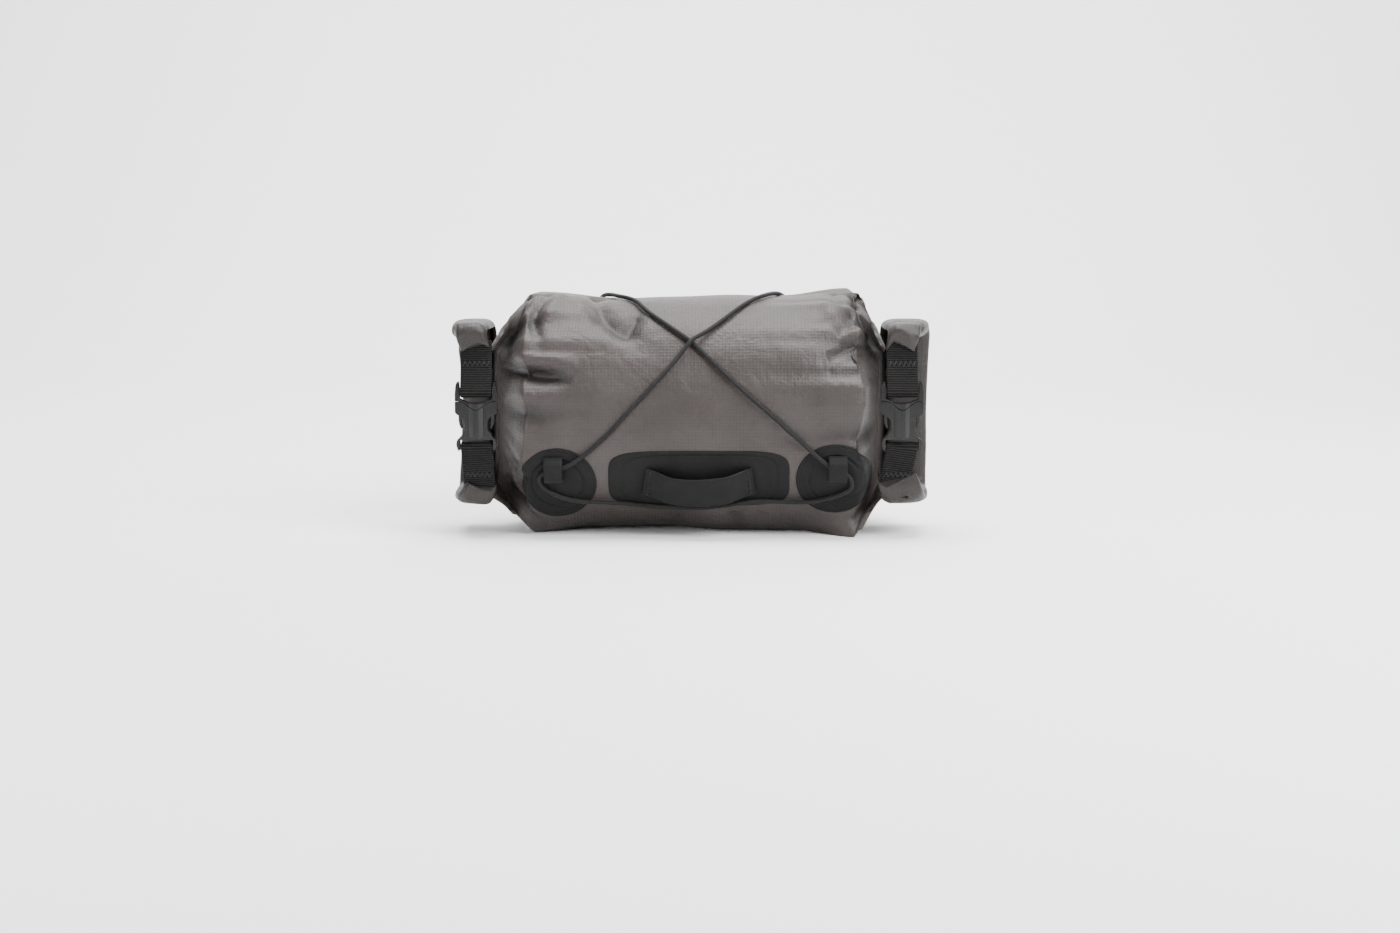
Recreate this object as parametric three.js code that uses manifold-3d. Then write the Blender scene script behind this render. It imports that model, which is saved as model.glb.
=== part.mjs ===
// Handlebar bag: a stuffed cloth tube rolled shut at both ends, with webbing, buckles, patches and a cord.
// Millimetres, +Z up. X runs along the bag, the front faces -Y, and the origin lies on the resting surface.
import * as THREE from 'three';
import Module from 'manifold-3d';
import { mergeVertices } from 'three/addons/utils/BufferGeometryUtils.js';

const wasm = await Module();
wasm.setup();

// Driving dimensions: the stuffed body
const REACH_LEFT = 129;
const REACH_RIGHT = 122.5;
const AXIS_HEIGHT = 74;
const TOP_RISE = 78;
const FRONT_DEPTH = 72;
const BACK_DEPTH = 73;
const BACK_SAG = 78;
const CLOTH = 1.5;
const SQUARENESS = 2.25;
const RIDGE_SHARPNESS = 6;

// Driving dimensions: where the body starts to close towards a mouth, as shares of its reach on that side
const LEFT_CLOSING = { ear: 0.8473, foot: 0.7907, front: 0.8295, back: 0.5891 };
const RIGHT_CLOSING = { ear: 0.8922, foot: 0.8327, front: 0.8735, back: 0.6204 };
const SHOULDER_ROUNDING = 0.8;
const CLOSING_BULGE = 0.35;

// Driving dimensions: the flat mouth at each end, a lying U whose arms point forward
const MOUTH_HALF_HEIGHT = 47;
const MOUTH_BACK_Y = -8;
const MOUTH_FRONT_Y = -60;
const MOUTH_CORNER = 12;
const MOUTH_OPENING = 6.4;
const MOUTH_FOLD = 0.6;
const MOUTH_TAPER = 6;
const MOUTH_TAPER_START = 0.5;

// Driving dimensions: the rolled closures
const ROLL_REACH_LEFT = 29;
const ROLL_REACH_RIGHT = 37.5;
const ROLL_TOP = 59;
const ROLL_BOTTOM = -48;
const ROLL_BACK_Y = -7;
const ROLL_FRONT_Y = -62;
const ROLL_THICKNESS = 11;
const ROLL_CORNER = 9;
const ROLL_TIP_TOP = 14;
const ROLL_TIP_BOTTOM = 9;
const ROLL_SIDE_POWER = 0.5;
const ROLL_FACE_POWER = 0.8;

// Driving dimensions: webbing and buckles
const WEB_WIDTH = 20;
const WEB_THICKNESS = 1.6;
const WEB_OFF_LEFT = 8.8;
const WEB_OFF_RIGHT = 10.9;
const WEB_POCKET = 8;
const WEB_TACK = 10;
const WEB_SLANT_LEFT = 1.6;
const WEB_SLANT_RIGHT = 5;
const BUCKLE_WIDTH = 26.8;
const BUCKLE_HEIGHT = 45;
const BUCKLE_THICKNESS = 7;
const BUCKLE_Y = -66;
const BUCKLE_Z = 5.2;
const BUCKLE_BAR = 3;
const MALE_BAR_SHARE = 0.63;
const FEMALE_BAR_SHARE = -0.84;
const PARTING_SIDE = 0.43;
const PARTING_DIP = 0.24;
const PARTING_REACH = 0.78;
const PARTING_GAP = 0.4;
const FINGER_THICKNESS = 3.4;
const TONGUE_WIDTH = 5;
const TONGUE_TOP_SHARE = 0.30;
const TONGUE_LOW_SHARE = -0.38;
const BARREL_WIDTH = 11.7;
const BARREL_BULGE = 3.2;
const BARREL_LOW_SHARE = -0.60;
const BARREL_TOP_SHARE = 0.50;
const MALE_SLOT_SIDE_SHARE = 0.50;
const MALE_SLOT_LOW_SHARE = 0.36;
const MALE_SLOT_CURVE = 0.6;
const FEMALE_SLOT_TOP_SHARE = -0.68;
const RELIEF_TOP_SHARE = 0.60;
const RELIEF_LOW_SHARE = -0.66;
const POCKET_LOW_SHARE = -0.02;
const POCKET_SIDE_SHARE = 0.85;

// Driving dimensions: patches, loops, cord and handlebar straps
const PATCH_THICKNESS = 0.8;
const ANCHOR_WIDTH = 50;
const ANCHOR_HEIGHT = 46;
const BASE_ROOM_LEFT = 7.5;
const BASE_ROOM_RIGHT = 4;
const BASE_HEIGHT = 38;
const GEAR_LOOP_LENGTH = 70;
const GEAR_LOOP_HEIGHT = 20;
const GEAR_LOOP_LIFT = 9.4;
const GEAR_LOOP_DROOP = 3;
const GEAR_LOOP_RAISE = -0.5;
const LOOP_THICKNESS = 1.4;
const CORD_LOOP_WIDTH = 12;
const CORD_LOOP_HEIGHT = 17;
const CORD_LOOP_LIFT = 6.2;
const CORD_DIAMETER = 2.8;
const BAR_DIAMETER = 31.8;
const BAR_Y = 80;
const BAR_Z = 52;
const BAR_STRAP_WIDTH = 25;
const BAR_STRAP_THICKNESS = 1.8;
const BAR_STRAP_X = 44;
const STRAP_TURN = [100, -60];
const TAIL_TOP = [112, 128];
const TAIL_LOW = [160, 178];

// Clearances between neighbouring pieces
const GAP = 0.3;
const LIE_GAP = 0.4;

// Mesh fineness
const STATIONS = 36;
const STATION_CROWDING = 0.86;
const AROUND = 40;
const NORMAL_STEP_X = 0.5;
const NORMAL_STEP_ANGLE = 0.01;
const BAND_TILT_STEP = 0.05;
const ROLL_STEP = 16;
const ROLL_SIDES = 10;
const CORNER_STEPS = 3;
const WRAP_STEPS = 8;
const PARTING_STEPS = 14;
const CURVE_SEGMENTS = 5;
const TAIL_STEPS = 3;
const TURN_STEPS = 12;
const CORD_SIDES = 6;
const CORD_STEP = 9;

// Sections along the body: at is a share of the reach, rise of TOP_RISE, and sag of AXIS_HEIGHT in front.
// Foot and lean are the forward shifts of the bottom and top lines as shares of FRONT_DEPTH.
const SECTIONS = [
  { at: -0.85, rise: 1.042, sag: 1.020, foot: 0.36, lean: 0.12 },
  { at: -0.47, rise: 0.990, sag: 1.008, foot: 0.04, lean: 0.00 },
  { at: -0.12, rise: 1.000, sag: 1.003, foot: 0.00, lean: 0.00 },
  { at: 0.22, rise: 1.004, sag: 1.050, foot: 0.06, lean: 0.00 },
  { at: 0.55, rise: 0.995, sag: 1.050, foot: 0.10, lean: 0.00 },
  { at: 0.85, rise: 1.042, sag: 1.040, foot: 0.66, lean: 0.12 },
];

// Folds pressed into the cloth, which fade out towards their "to" end. From and to are pairs: x as a share of
// the reach, and height from the axis as a share of AXIS_HEIGHT. Width and depth are shares of AXIS_HEIGHT.
const FOLDS = [
  { face: 'front', from: [-0.98, 0.50], to: [-0.62, 0.36], width: 0.070, depth: 0.070 },
  { face: 'front', from: [-0.79, 0.88], to: [-0.76, 0.60], width: 0.060, depth: 0.040 },
  { face: 'front', from: [-0.46, 0.86], to: [-0.20, 0.62], width: 0.110, depth: 0.050 },
  { face: 'front', from: [-0.98, -0.42], to: [-0.78, -0.50], width: 0.060, depth: 0.050 },
  { face: 'front', from: [-0.96, -0.62], to: [-0.74, -0.90], width: 0.060, depth: 0.050 },
  { face: 'front', from: [0.98, 0.60], to: [0.64, 0.54], width: 0.085, depth: 0.085 },
  { face: 'front', from: [0.84, 0.88], to: [0.74, 0.74], width: 0.060, depth: 0.050 },
  { face: 'front', from: [0.98, -0.06], to: [0.80, -0.30], width: 0.080, depth: 0.045 },
  { face: 'front', from: [0.20, -0.98], to: [0.28, -0.70], width: 0.080, depth: 0.040 },
  { face: 'back', from: [-0.98, 0.30], to: [-0.50, 0.20], width: 0.090, depth: 0.080 },
  { face: 'back', from: [0.98, -0.20], to: [0.52, -0.10], width: 0.090, depth: 0.080 },
  { face: 'back', from: [0.96, 0.52], to: [0.60, 0.62], width: 0.080, depth: 0.060 },
];
const FOLD_FADE = 0.8;
const FRONT_LYING = 3;
const BACK_LYING = 6;
const GATHER_COUNT = 9;
const GATHER_DEPTH = 1.6;
const GATHER_REACH = 14;

// Small helpers
const TOP = Math.PI / 2;

function clamp01(value) {
  return Math.min(1, Math.max(0, value));
}

function ease(value) {
  const t = clamp01(value);
  return t * t * (3 - 2 * t);
}

function signedPower(value, power) {
  return Math.sign(value) * Math.abs(value) ** power;
}

function reachAt(x) {
  return x < 0 ? REACH_LEFT : REACH_RIGHT;
}

// Values of the section table at a place along the bag, eased from row to row.
function sectionAt(x) {
  const share = x / reachAt(x);
  let row = 0;
  while (row < SECTIONS.length - 2 && share > SECTIONS[row + 1].at) {
    row += 1;
  }
  const low = SECTIONS[row];
  const high = SECTIONS[row + 1];
  const t = ease((share - low.at) / (high.at - low.at));
  const mix = (key) => low[key] + (high[key] - low[key]) * t;
  return { rise: mix('rise'), sag: mix('sag'), foot: mix('foot'), lean: mix('lean') };
}

// The full section: a rounded outline round the axis, flattened where it rests. Angle 0 is the front.
function fullPoint(x, angle) {
  const section = sectionAt(x);
  const across = signedPower(Math.cos(angle), 2 / SQUARENESS);
  const up = signedPower(Math.sin(angle), 2 / SQUARENESS);
  const ridge = Math.abs(Math.sin(angle)) ** RIDGE_SHARPNESS;
  const depth = across > 0 ? FRONT_DEPTH : BACK_DEPTH;
  const sag = across > 0 ? AXIS_HEIGHT * section.sag : BACK_SAG;
  const height = up > 0 ? TOP_RISE * (1 + (section.rise - 1) * ridge) : sag;
  const shift = up > 0 ? section.lean : section.foot;
  const y = -across * depth - shift * FRONT_DEPTH * ridge;
  return [y, Math.max(-AXIS_HEIGHT, up * height)];
}

// A point at an angle on a corner of the U, with the direction that points out there.
function cornerPoint(centreY, centreZ, radius, angle) {
  const [c, s] = [Math.cos(angle), Math.sin(angle)];
  return [centreY + radius * c, centreZ + radius * s, c, s];
}

// A round-cornered U that lies on its side, as a distance run from its top tip: [y, z, outward y, outward z].
function lyingU(shape, share) {
  const arm = shape.backY - shape.frontY - shape.corner;
  const turn = shape.corner * Math.PI / 2;
  const wall = shape.top - shape.bottom - 2 * shape.corner;
  const run = share * (2 * arm + 2 * turn + wall);
  const backStart = arm + turn;
  const lowTurn = backStart + wall;
  const innerY = shape.backY - shape.corner;
  if (run <= arm) {
    return [shape.frontY + run, shape.top, 0, 1];
  }
  if (run <= backStart) {
    return cornerPoint(innerY, shape.top - shape.corner, shape.corner, TOP - (run - arm) / shape.corner);
  }
  if (run <= lowTurn) {
    return [shape.backY, shape.top - shape.corner - (run - backStart), 1, 0];
  }
  if (run <= lowTurn + turn) {
    return cornerPoint(innerY, shape.bottom + shape.corner, shape.corner, -(run - lowTurn) / shape.corner);
  }
  return [innerY - (run - lowTurn - turn), shape.bottom, 0, -1];
}

const MOUTH = {
  backY: MOUTH_BACK_Y,
  frontY: MOUTH_FRONT_Y,
  top: MOUTH_HALF_HEIGHT,
  bottom: -MOUTH_HALF_HEIGHT,
  corner: MOUTH_CORNER,
};

// The mouth's outline: the back half of the section runs along the U's outside, the front half inside it.
function mouthPoint(angle) {
  const turned = (angle - TOP + 2 * Math.PI) % (2 * Math.PI);
  const isBack = turned <= Math.PI;
  const share = isBack ? turned / Math.PI : 2 - turned / Math.PI;
  const [y, z, outY, outZ] = lyingU(MOUTH, share);
  const widen = ease(MOUTH_TAPER * share * (1 - share) - MOUTH_TAPER_START);
  const open = MOUTH_FOLD + (MOUTH_OPENING - MOUTH_FOLD) * widen;
  const half = share === 0 || share === 1 ? 0 : CLOTH + open / 2;
  const side = isBack ? half : -half;
  return [y + outY * side, z + outZ * side];
}

// How far the section has closed towards the mouth, from 0 on the full body to 1 at the mouth.
function closing(x, angle) {
  const reach = reachAt(x);
  const c = Math.cos(angle);
  const start = x < 0 ? LEFT_CLOSING : RIGHT_CLOSING;
  const edge = Math.sin(angle) > 0 ? start.ear : start.foot;
  const face = c > 0 ? start.front : start.back;
  const shoulder = reach * (edge + (face - edge) * Math.abs(c) ** SHOULDER_ROUNDING);
  const bulge = 1 + CLOSING_BULGE * Math.abs(c);
  return clamp01((Math.abs(x) - shoulder) / (reach - shoulder)) ** bulge;
}

function smoothBody(x, angle) {
  const [fullY, fullZ] = fullPoint(x, angle);
  const [mouthY, mouthZ] = mouthPoint(angle);
  const w = closing(x, angle);
  return new THREE.Vector3(x, fullY + (mouthY - fullY) * w, AXIS_HEIGHT + fullZ + (mouthZ - fullZ) * w);
}

function normalOf(surface, x, angle) {
  const inward = x > 0 ? -1 : 1;
  const along = surface(x + inward * NORMAL_STEP_X, angle).sub(surface(x, angle)).multiplyScalar(inward);
  const round = surface(x, angle + NORMAL_STEP_ANGLE).sub(surface(x, angle - NORMAL_STEP_ANGLE));
  return along.cross(round).normalize();
}

// Depth pressed in by the folds and by the gathers that run into each mouth.
function pressedIn(x, angle) {
  const reach = reachAt(x);
  const face = Math.cos(angle) > 0 ? 'front' : 'back';
  const across = x / reach;
  const up = signedPower(Math.sin(angle), 2 / SQUARENESS);
  let depth = 0;
  for (const fold of FOLDS) {
    if (fold.face !== face) {
      continue;
    }
    const runX = (fold.to[0] - fold.from[0]) * reach;
    const runZ = (fold.to[1] - fold.from[1]) * AXIS_HEIGHT;
    const offX = (across - fold.from[0]) * reach;
    const offZ = (up - fold.from[1]) * AXIS_HEIGHT;
    const t = (offX * runX + offZ * runZ) / (runX * runX + runZ * runZ);
    const near = clamp01(t);
    const miss = Math.hypot(offX - near * runX, offZ - near * runZ) / (fold.width * AXIS_HEIGHT);
    depth += fold.depth * AXIS_HEIGHT * Math.exp(-miss * miss) * (1 - FOLD_FADE * near * near);
  }
  const fromMouth = reach - Math.abs(x);
  const swell = (fromMouth / GATHER_REACH) * Math.exp(1 - fromMouth / GATHER_REACH);
  depth += GATHER_DEPTH * swell * Math.cos(GATHER_COUNT * angle + Math.sign(x));
  const lying = ease((up + 1) * (face === 'back' ? BACK_LYING : FRONT_LYING));
  return depth * (1 - closing(x, angle)) ** 2 * lying;
}

// The cloth's outer surface; nothing of it reaches below the resting surface.
function bodyPoint(x, angle) {
  const point = smoothBody(x, angle);
  point.addScaledVector(normalOf(smoothBody, x, angle), -pressedIn(x, angle));
  return point.setZ(Math.max(0, point.z));
}

// A point above the cloth: lift is measured along the surface's normal.
function overBody(x, angle, lift) {
  return bodyPoint(x, angle).addScaledVector(normalOf(smoothBody, x, angle), lift);
}

// Angle of the front or back surface at a height above the axis.
function angleAtHeight(x, height, isBack = false) {
  const section = sectionAt(x);
  const sag = isBack ? BACK_SAG : AXIS_HEIGHT * section.sag;
  const share = THREE.MathUtils.clamp(height / (height > 0 ? TOP_RISE : sag), -1, 1);
  const angle = Math.asin(signedPower(share, SQUARENESS / 2));
  return isBack ? Math.PI - angle : angle;
}

// Mesh builders
function closedGeometry(points, triangles) {
  const geometry = new THREE.BufferGeometry();
  const flat = new Float32Array(points.length * 3);
  points.forEach((p, i) => flat.set([p.x, p.y, p.z], i * 3));
  geometry.setAttribute('position', new THREE.BufferAttribute(flat, 3));
  geometry.setIndex(triangles);
  return geometry;
}

// Side faces between two rings of equal length, in point order.
function ringFaces(first, second, count, triangles) {
  for (let j = 0; j < count; j += 1) {
    const k = (j + 1) % count;
    triangles.push(first + j, second + j, second + k, first + j, second + k, first + k);
  }
}

function capFaces(points, start, count, axes, flip, triangles) {
  const outline = [];
  for (let j = 0; j < count; j += 1) {
    const p = points[start + j];
    outline.push(new THREE.Vector2(p.dot(axes[0]), p.dot(axes[1])));
  }
  const turnsLeft = THREE.ShapeUtils.area(outline) > 0;
  for (const [a, b, c] of THREE.ShapeUtils.triangulateShape(outline, [])) {
    const tri = turnsLeft === flip ? [a, c, b] : [a, b, c];
    triangles.push(start + tri[0], start + tri[1], start + tri[2]);
  }
}

// A solid through rings of points: closed with caps, or joined end to start when it is a loop.
function loft(rings, isLoop = false) {
  const count = rings[0].length;
  const points = rings.flat();
  const triangles = [];
  const last = isLoop ? rings.length : rings.length - 1;
  for (let i = 0; i < last; i += 1) {
    ringFaces(i * count, ((i + 1) % rings.length) * count, count, triangles);
  }
  if (!isLoop) {
    for (const [ring, flip] of [[0, false], [rings.length - 1, true]]) {
      const centre = new THREE.Vector3();
      rings[ring].forEach((p) => centre.add(p));
      centre.divideScalar(count);
      const axisA = rings[ring][0].clone().sub(centre).normalize();
      const side = rings[ring][Math.floor(count / 4)].clone().sub(centre);
      const axisB = side.addScaledVector(axisA, -side.dot(axisA)).normalize();
      const ringTriangles = [];
      capFaces(points, ring * count, count, [axisA, axisB], flip, ringTriangles);
      triangles.push(...ringTriangles);
    }
  }
  return outward(closedGeometry(points, triangles));
}

// Turns a closed mesh so that its faces point out.
function outward(geometry) {
  const position = geometry.getAttribute('position');
  const index = Array.from(geometry.getIndex().array);
  let volume = 0;
  const [a, b, c] = [new THREE.Vector3(), new THREE.Vector3(), new THREE.Vector3()];
  for (let i = 0; i < index.length; i += 3) {
    a.fromBufferAttribute(position, index[i]);
    b.fromBufferAttribute(position, index[i + 1]);
    c.fromBufferAttribute(position, index[i + 2]);
    volume += a.dot(b.cross(c));
  }
  if (volume < 0) {
    for (let i = 0; i < index.length; i += 3) {
      [index[i + 1], index[i + 2]] = [index[i + 2], index[i + 1]];
    }
    geometry.setIndex(index);
  }
  return geometry;
}

function toManifold(geometry) {
  const bare = geometry.clone();
  bare.deleteAttribute('normal');
  bare.deleteAttribute('uv');
  const merged = mergeVertices(bare, 1e-4);
  const vertProperties = Float32Array.from(merged.getAttribute('position').array);
  const triVerts = Uint32Array.from(merged.getIndex().array);
  return new wasm.Manifold(new wasm.Mesh({ numProp: 3, vertProperties, triVerts }));
}

function fromManifold(solid) {
  const mesh = solid.getMesh();
  const geometry = new THREE.BufferGeometry();
  geometry.setAttribute('position', new THREE.BufferAttribute(Float32Array.from(mesh.vertProperties), 3));
  geometry.setIndex(Array.from(mesh.triVerts));
  return geometry;
}

// A prism whose outline lies in the front view, [x, z], and whose thickness runs along Y.
function frontPrism(outline, thickness, middleY) {
  const shape = new THREE.Shape(outline.map(([x, z]) => new THREE.Vector2(x, z)));
  const settings = { depth: thickness, bevelEnabled: false, curveSegments: CURVE_SEGMENTS };
  const geometry = new THREE.ExtrudeGeometry(shape, settings);
  geometry.rotateX(Math.PI / 2);
  geometry.translate(0, middleY + thickness / 2, 0);
  return toManifold(geometry);
}

function block(width, depth, height, x, y, z) {
  const geometry = new THREE.BoxGeometry(width, depth, height);
  geometry.translate(x, y, z);
  return toManifold(geometry);
}

const group = new THREE.Group();

function addPiece(name, geometry, finish) {
  const mesh = new THREE.Mesh(geometry, finish);
  mesh.name = name;
  group.add(mesh);
}

// Finishes
const coatedCloth = new THREE.MeshStandardMaterial({ color: 0x6f6866, roughness: 0.62, metalness: 0 });
const bondedPatch = new THREE.MeshStandardMaterial({ color: 0x3b3c3c, roughness: 0.75, metalness: 0 });
const wovenWeb = new THREE.MeshStandardMaterial({ color: 0x1d1c1c, roughness: 0.85, metalness: 0 });
const mouldedBlack = new THREE.MeshStandardMaterial({ color: 0x111112, roughness: 0.28, metalness: 0 });
const cordSheath = new THREE.MeshStandardMaterial({ color: 0x2b2a2b, roughness: 0.7, metalness: 0 });

// The body: an outer and an inner grid of the same surface, joined round the rim of each mouth
function stationX(i) {
  const share = 2 * (i / (STATIONS - 1)) - 1;
  const crowding = TOP * STATION_CROWDING;
  return (Math.sin(share * crowding) / Math.sin(crowding)) * reachAt(share);
}

function gridRings(lift) {
  const rings = [];
  for (let i = 0; i < STATIONS; i += 1) {
    const ring = [];
    for (let j = 0; j < AROUND; j += 1) {
      ring.push(bodyPoint(stationX(i), (j / AROUND) * 2 * Math.PI));
    }
    rings.push(ring);
  }
  return lift === 0 ? rings : shiftedRings(rings, lift);
}

// The grid moved along its own vertex normals; the end rings stay in the plane of the mouth.
function shiftedRings(rings, lift) {
  return rings.map((ring, i) => ring.map((p, j) => {
    const before = rings[Math.max(i - 1, 0)][j];
    const after = rings[Math.min(i + 1, rings.length - 1)][j];
    const left = ring[(j + AROUND - 1) % AROUND];
    const right = ring[(j + 1) % AROUND];
    const normal = after.clone().sub(before).cross(right.clone().sub(left)).normalize();
    if (i === 0 || i === rings.length - 1) {
      normal.setX(0).normalize();
    }
    return p.clone().addScaledVector(normal, lift);
  }));
}

function buildShell() {
  const outer = gridRings(0);
  const inner = shiftedRings(outer, -CLOTH);
  const points = [...outer.flat(), ...inner.flat()];
  const offset = outer.length * AROUND;
  const triangles = [];
  for (let i = 0; i < outer.length - 1; i += 1) {
    ringFaces(i * AROUND, (i + 1) * AROUND, AROUND, triangles);
    ringFaces(offset + (i + 1) * AROUND, offset + i * AROUND, AROUND, triangles);
  }
  const lastRing = (outer.length - 1) * AROUND;
  ringFaces(offset, 0, AROUND, triangles);
  ringFaces(lastRing, offset + lastRing, AROUND, triangles);
  return outward(closedGeometry(points, triangles));
}

addPiece('bag_shell', buildShell(), coatedCloth);

// The body grown by a clearance, used to trim what lies on the cloth so that it follows every facet
const clothTrim = toManifold(loft(gridRings(LIE_GAP)));

function layOnBody(name, geometry, finish) {
  addPiece(name, fromManifold(toManifold(geometry).subtract(clothTrim)), finish);
}

// Rings of a patch: share of its outline, and lift above the cloth. The first lies in the cloth.
const PATCH_TOP = LIE_GAP + PATCH_THICKNESS;
const PATCH_RINGS = [
  { share: 1.00, lift: -PATCH_THICKNESS },
  { share: 1.00, lift: PATCH_TOP },
  { share: 0.62, lift: PATCH_TOP },
  { share: 0.30, lift: PATCH_TOP },
];

function patchGeometry(patch) {
  return loft(PATCH_RINGS.map((row) => {
    const ring = [];
    for (let j = 0; j < patch.steps; j += 1) {
      const a = (j / patch.steps) * 2 * Math.PI;
      const x = patch.x + row.share * patch.width / 2 * signedPower(Math.cos(a), 2 / patch.square);
      const z = patch.z + row.share * patch.height / 2 * signedPower(Math.sin(a), 2 / patch.square);
      ring.push(overBody(x, angleAtHeight(x, z), row.lift));
    }
    return ring;
  }));
}

// A place on the body from its share of the reach and of the height above or below the axis.
function placeAt(along, up) {
  return { x: along * reachAt(along), z: up * (up > 0 ? TOP_RISE : AXIS_HEIGHT) };
}

// Front patches, at their middles
const ANCHORS = [
  { side: 'left', ...placeAt(-0.6705, -0.5135) },
  { side: 'right', ...placeAt(0.7429, -0.4797) },
];
const BASE_START = ANCHORS[0].x + ANCHOR_WIDTH / 2 + BASE_ROOM_LEFT;
const BASE_END = ANCHORS[1].x - ANCHOR_WIDTH / 2 - BASE_ROOM_RIGHT;
const BASE_MIDDLE = (BASE_START + BASE_END) / 2;
const BASE = { x: BASE_MIDDLE, z: placeAt(0, -0.4811).z };

for (const anchor of ANCHORS) {
  const patch = { ...anchor, width: ANCHOR_WIDTH, height: ANCHOR_HEIGHT, square: 2, steps: 20 };
  layOnBody(`anchor_patch_${anchor.side}`, patchGeometry(patch), bondedPatch);
}
const basePatch = { ...BASE, width: BASE_END - BASE_START, height: BASE_HEIGHT, square: 5, steps: 28 };
layOnBody('base_patch', patchGeometry(basePatch), bondedPatch);

// Sweeps: a profile of [across, outward] pairs carried along a path
function sweep(path, acrossAt, profileAt, isLoop = false) {
  const count = path.length;
  const rings = path.map((p, i) => {
    const before = path[isLoop ? (i + count - 1) % count : Math.max(i - 1, 0)];
    const after = path[isLoop ? (i + 1) % count : Math.min(i + 1, count - 1)];
    const tangent = after.clone().sub(before).normalize();
    const across = acrossAt(i).clone();
    across.addScaledVector(tangent, -across.dot(tangent)).normalize();
    const outward = tangent.clone().cross(across);
    return profileAt(i).map(([s, t]) => p.clone().addScaledVector(across, s).addScaledVector(outward, t));
  });
  return loft(rings, isLoop);
}

function bandProfile(width, thickness) {
  const [w, t] = [width / 2, thickness / 2];
  return [[-w, -t], [w, -t], [w, t], [-w, t]];
}

function roundedProfile(width, thickness, sides) {
  const profile = [];
  for (let j = 0; j < sides; j += 1) {
    const a = ((j + 0.5) / sides) * 2 * Math.PI;
    const side = width / 2 * signedPower(Math.cos(a), ROLL_SIDE_POWER);
    profile.push([side, thickness / 2 * signedPower(Math.sin(a), ROLL_FACE_POWER)]);
  }
  return profile;
}

// A line of [y, z] corners at one x, its inner corners rounded and its straights cut into short steps.
function roundedLine(corners, radius, x, step) {
  const path = [];
  const at = ([y, z]) => new THREE.Vector3(x, y, z);
  let last = at(corners[0]);
  for (let i = 1; i < corners.length; i += 1) {
    const corner = at(corners[i]);
    const into = corner.clone().sub(last).normalize();
    const isEnd = i === corners.length - 1;
    const stop = isEnd ? corner : corner.clone().addScaledVector(into, -radius);
    const steps = Math.max(1, Math.round(stop.distanceTo(last) / step));
    for (let k = 0; k < steps; k += 1) {
      path.push(last.clone().lerp(stop, k / steps));
    }
    last = stop;
    if (!isEnd) {
      const out = at(corners[i + 1]).sub(corner).normalize();
      const leave = corner.clone().addScaledVector(out, radius);
      const curve = new THREE.QuadraticBezierCurve3(stop, corner, leave);
      for (let k = 0; k < CORNER_STEPS; k += 1) {
        path.push(curve.getPoint(k / CORNER_STEPS));
      }
      last = leave;
    }
  }
  path.push(last);
  return path;
}

// The rolled closures: a thick strip along a lying U whose tips turn towards each other at the front
const LEFT_END = { side: 'left', sign: -1, reach: REACH_LEFT, outer: REACH_LEFT + ROLL_REACH_LEFT };
const RIGHT_END = { side: 'right', sign: 1, reach: REACH_RIGHT, outer: REACH_RIGHT + ROLL_REACH_RIGHT };
const ENDS = [
  { ...LEFT_END, webX: -REACH_LEFT - WEB_OFF_LEFT, slant: WEB_SLANT_LEFT },
  { ...RIGHT_END, webX: REACH_RIGHT + WEB_OFF_RIGHT, slant: WEB_SLANT_RIGHT },
];
const X_AXIS = new THREE.Vector3(1, 0, 0);
const TIP_TOP_Z = AXIS_HEIGHT + ROLL_TOP - ROLL_TIP_TOP;
const TIP_BOTTOM_Z = AXIS_HEIGHT + ROLL_BOTTOM + ROLL_TIP_BOTTOM;

// Thickness of the roll as shares of ROLL_THICKNESS; at is a share of its length from the top tip.
const ROLL_SECTIONS = [
  { at: 0.00, thick: 0.75 },
  { at: 0.12, thick: 1.20 },
  { at: 0.30, thick: 1.10 },
  { at: 0.55, thick: 0.95 },
  { at: 0.85, thick: 1.10 },
  { at: 1.00, thick: 0.70 },
];

function rollThickness(share) {
  let row = 0;
  while (row < ROLL_SECTIONS.length - 2 && share > ROLL_SECTIONS[row + 1].at) {
    row += 1;
  }
  const [low, high] = [ROLL_SECTIONS[row], ROLL_SECTIONS[row + 1]];
  const t = ease((share - low.at) / (high.at - low.at));
  return ROLL_THICKNESS * (low.thick + (high.thick - low.thick) * t);
}

function rollGeometry(end) {
  const inner = end.reach + GAP;
  const width = end.outer - inner;
  const x = end.sign * (inner + width / 2);
  const [top, bottom] = [AXIS_HEIGHT + ROLL_TOP, AXIS_HEIGHT + ROLL_BOTTOM];
  const corners = [
    [ROLL_FRONT_Y, TIP_TOP_Z],
    [ROLL_FRONT_Y, top],
    [ROLL_BACK_Y, top],
    [ROLL_BACK_Y, bottom],
    [ROLL_FRONT_Y, bottom],
    [ROLL_FRONT_Y, TIP_BOTTOM_Z],
  ];
  const path = roundedLine(corners, ROLL_CORNER, x, ROLL_STEP);
  const thicknessAt = (i) => rollThickness(i / (path.length - 1));
  return sweep(path, () => X_AXIS, (i) => roundedProfile(width, thicknessAt(i), ROLL_SIDES));
}

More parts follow.
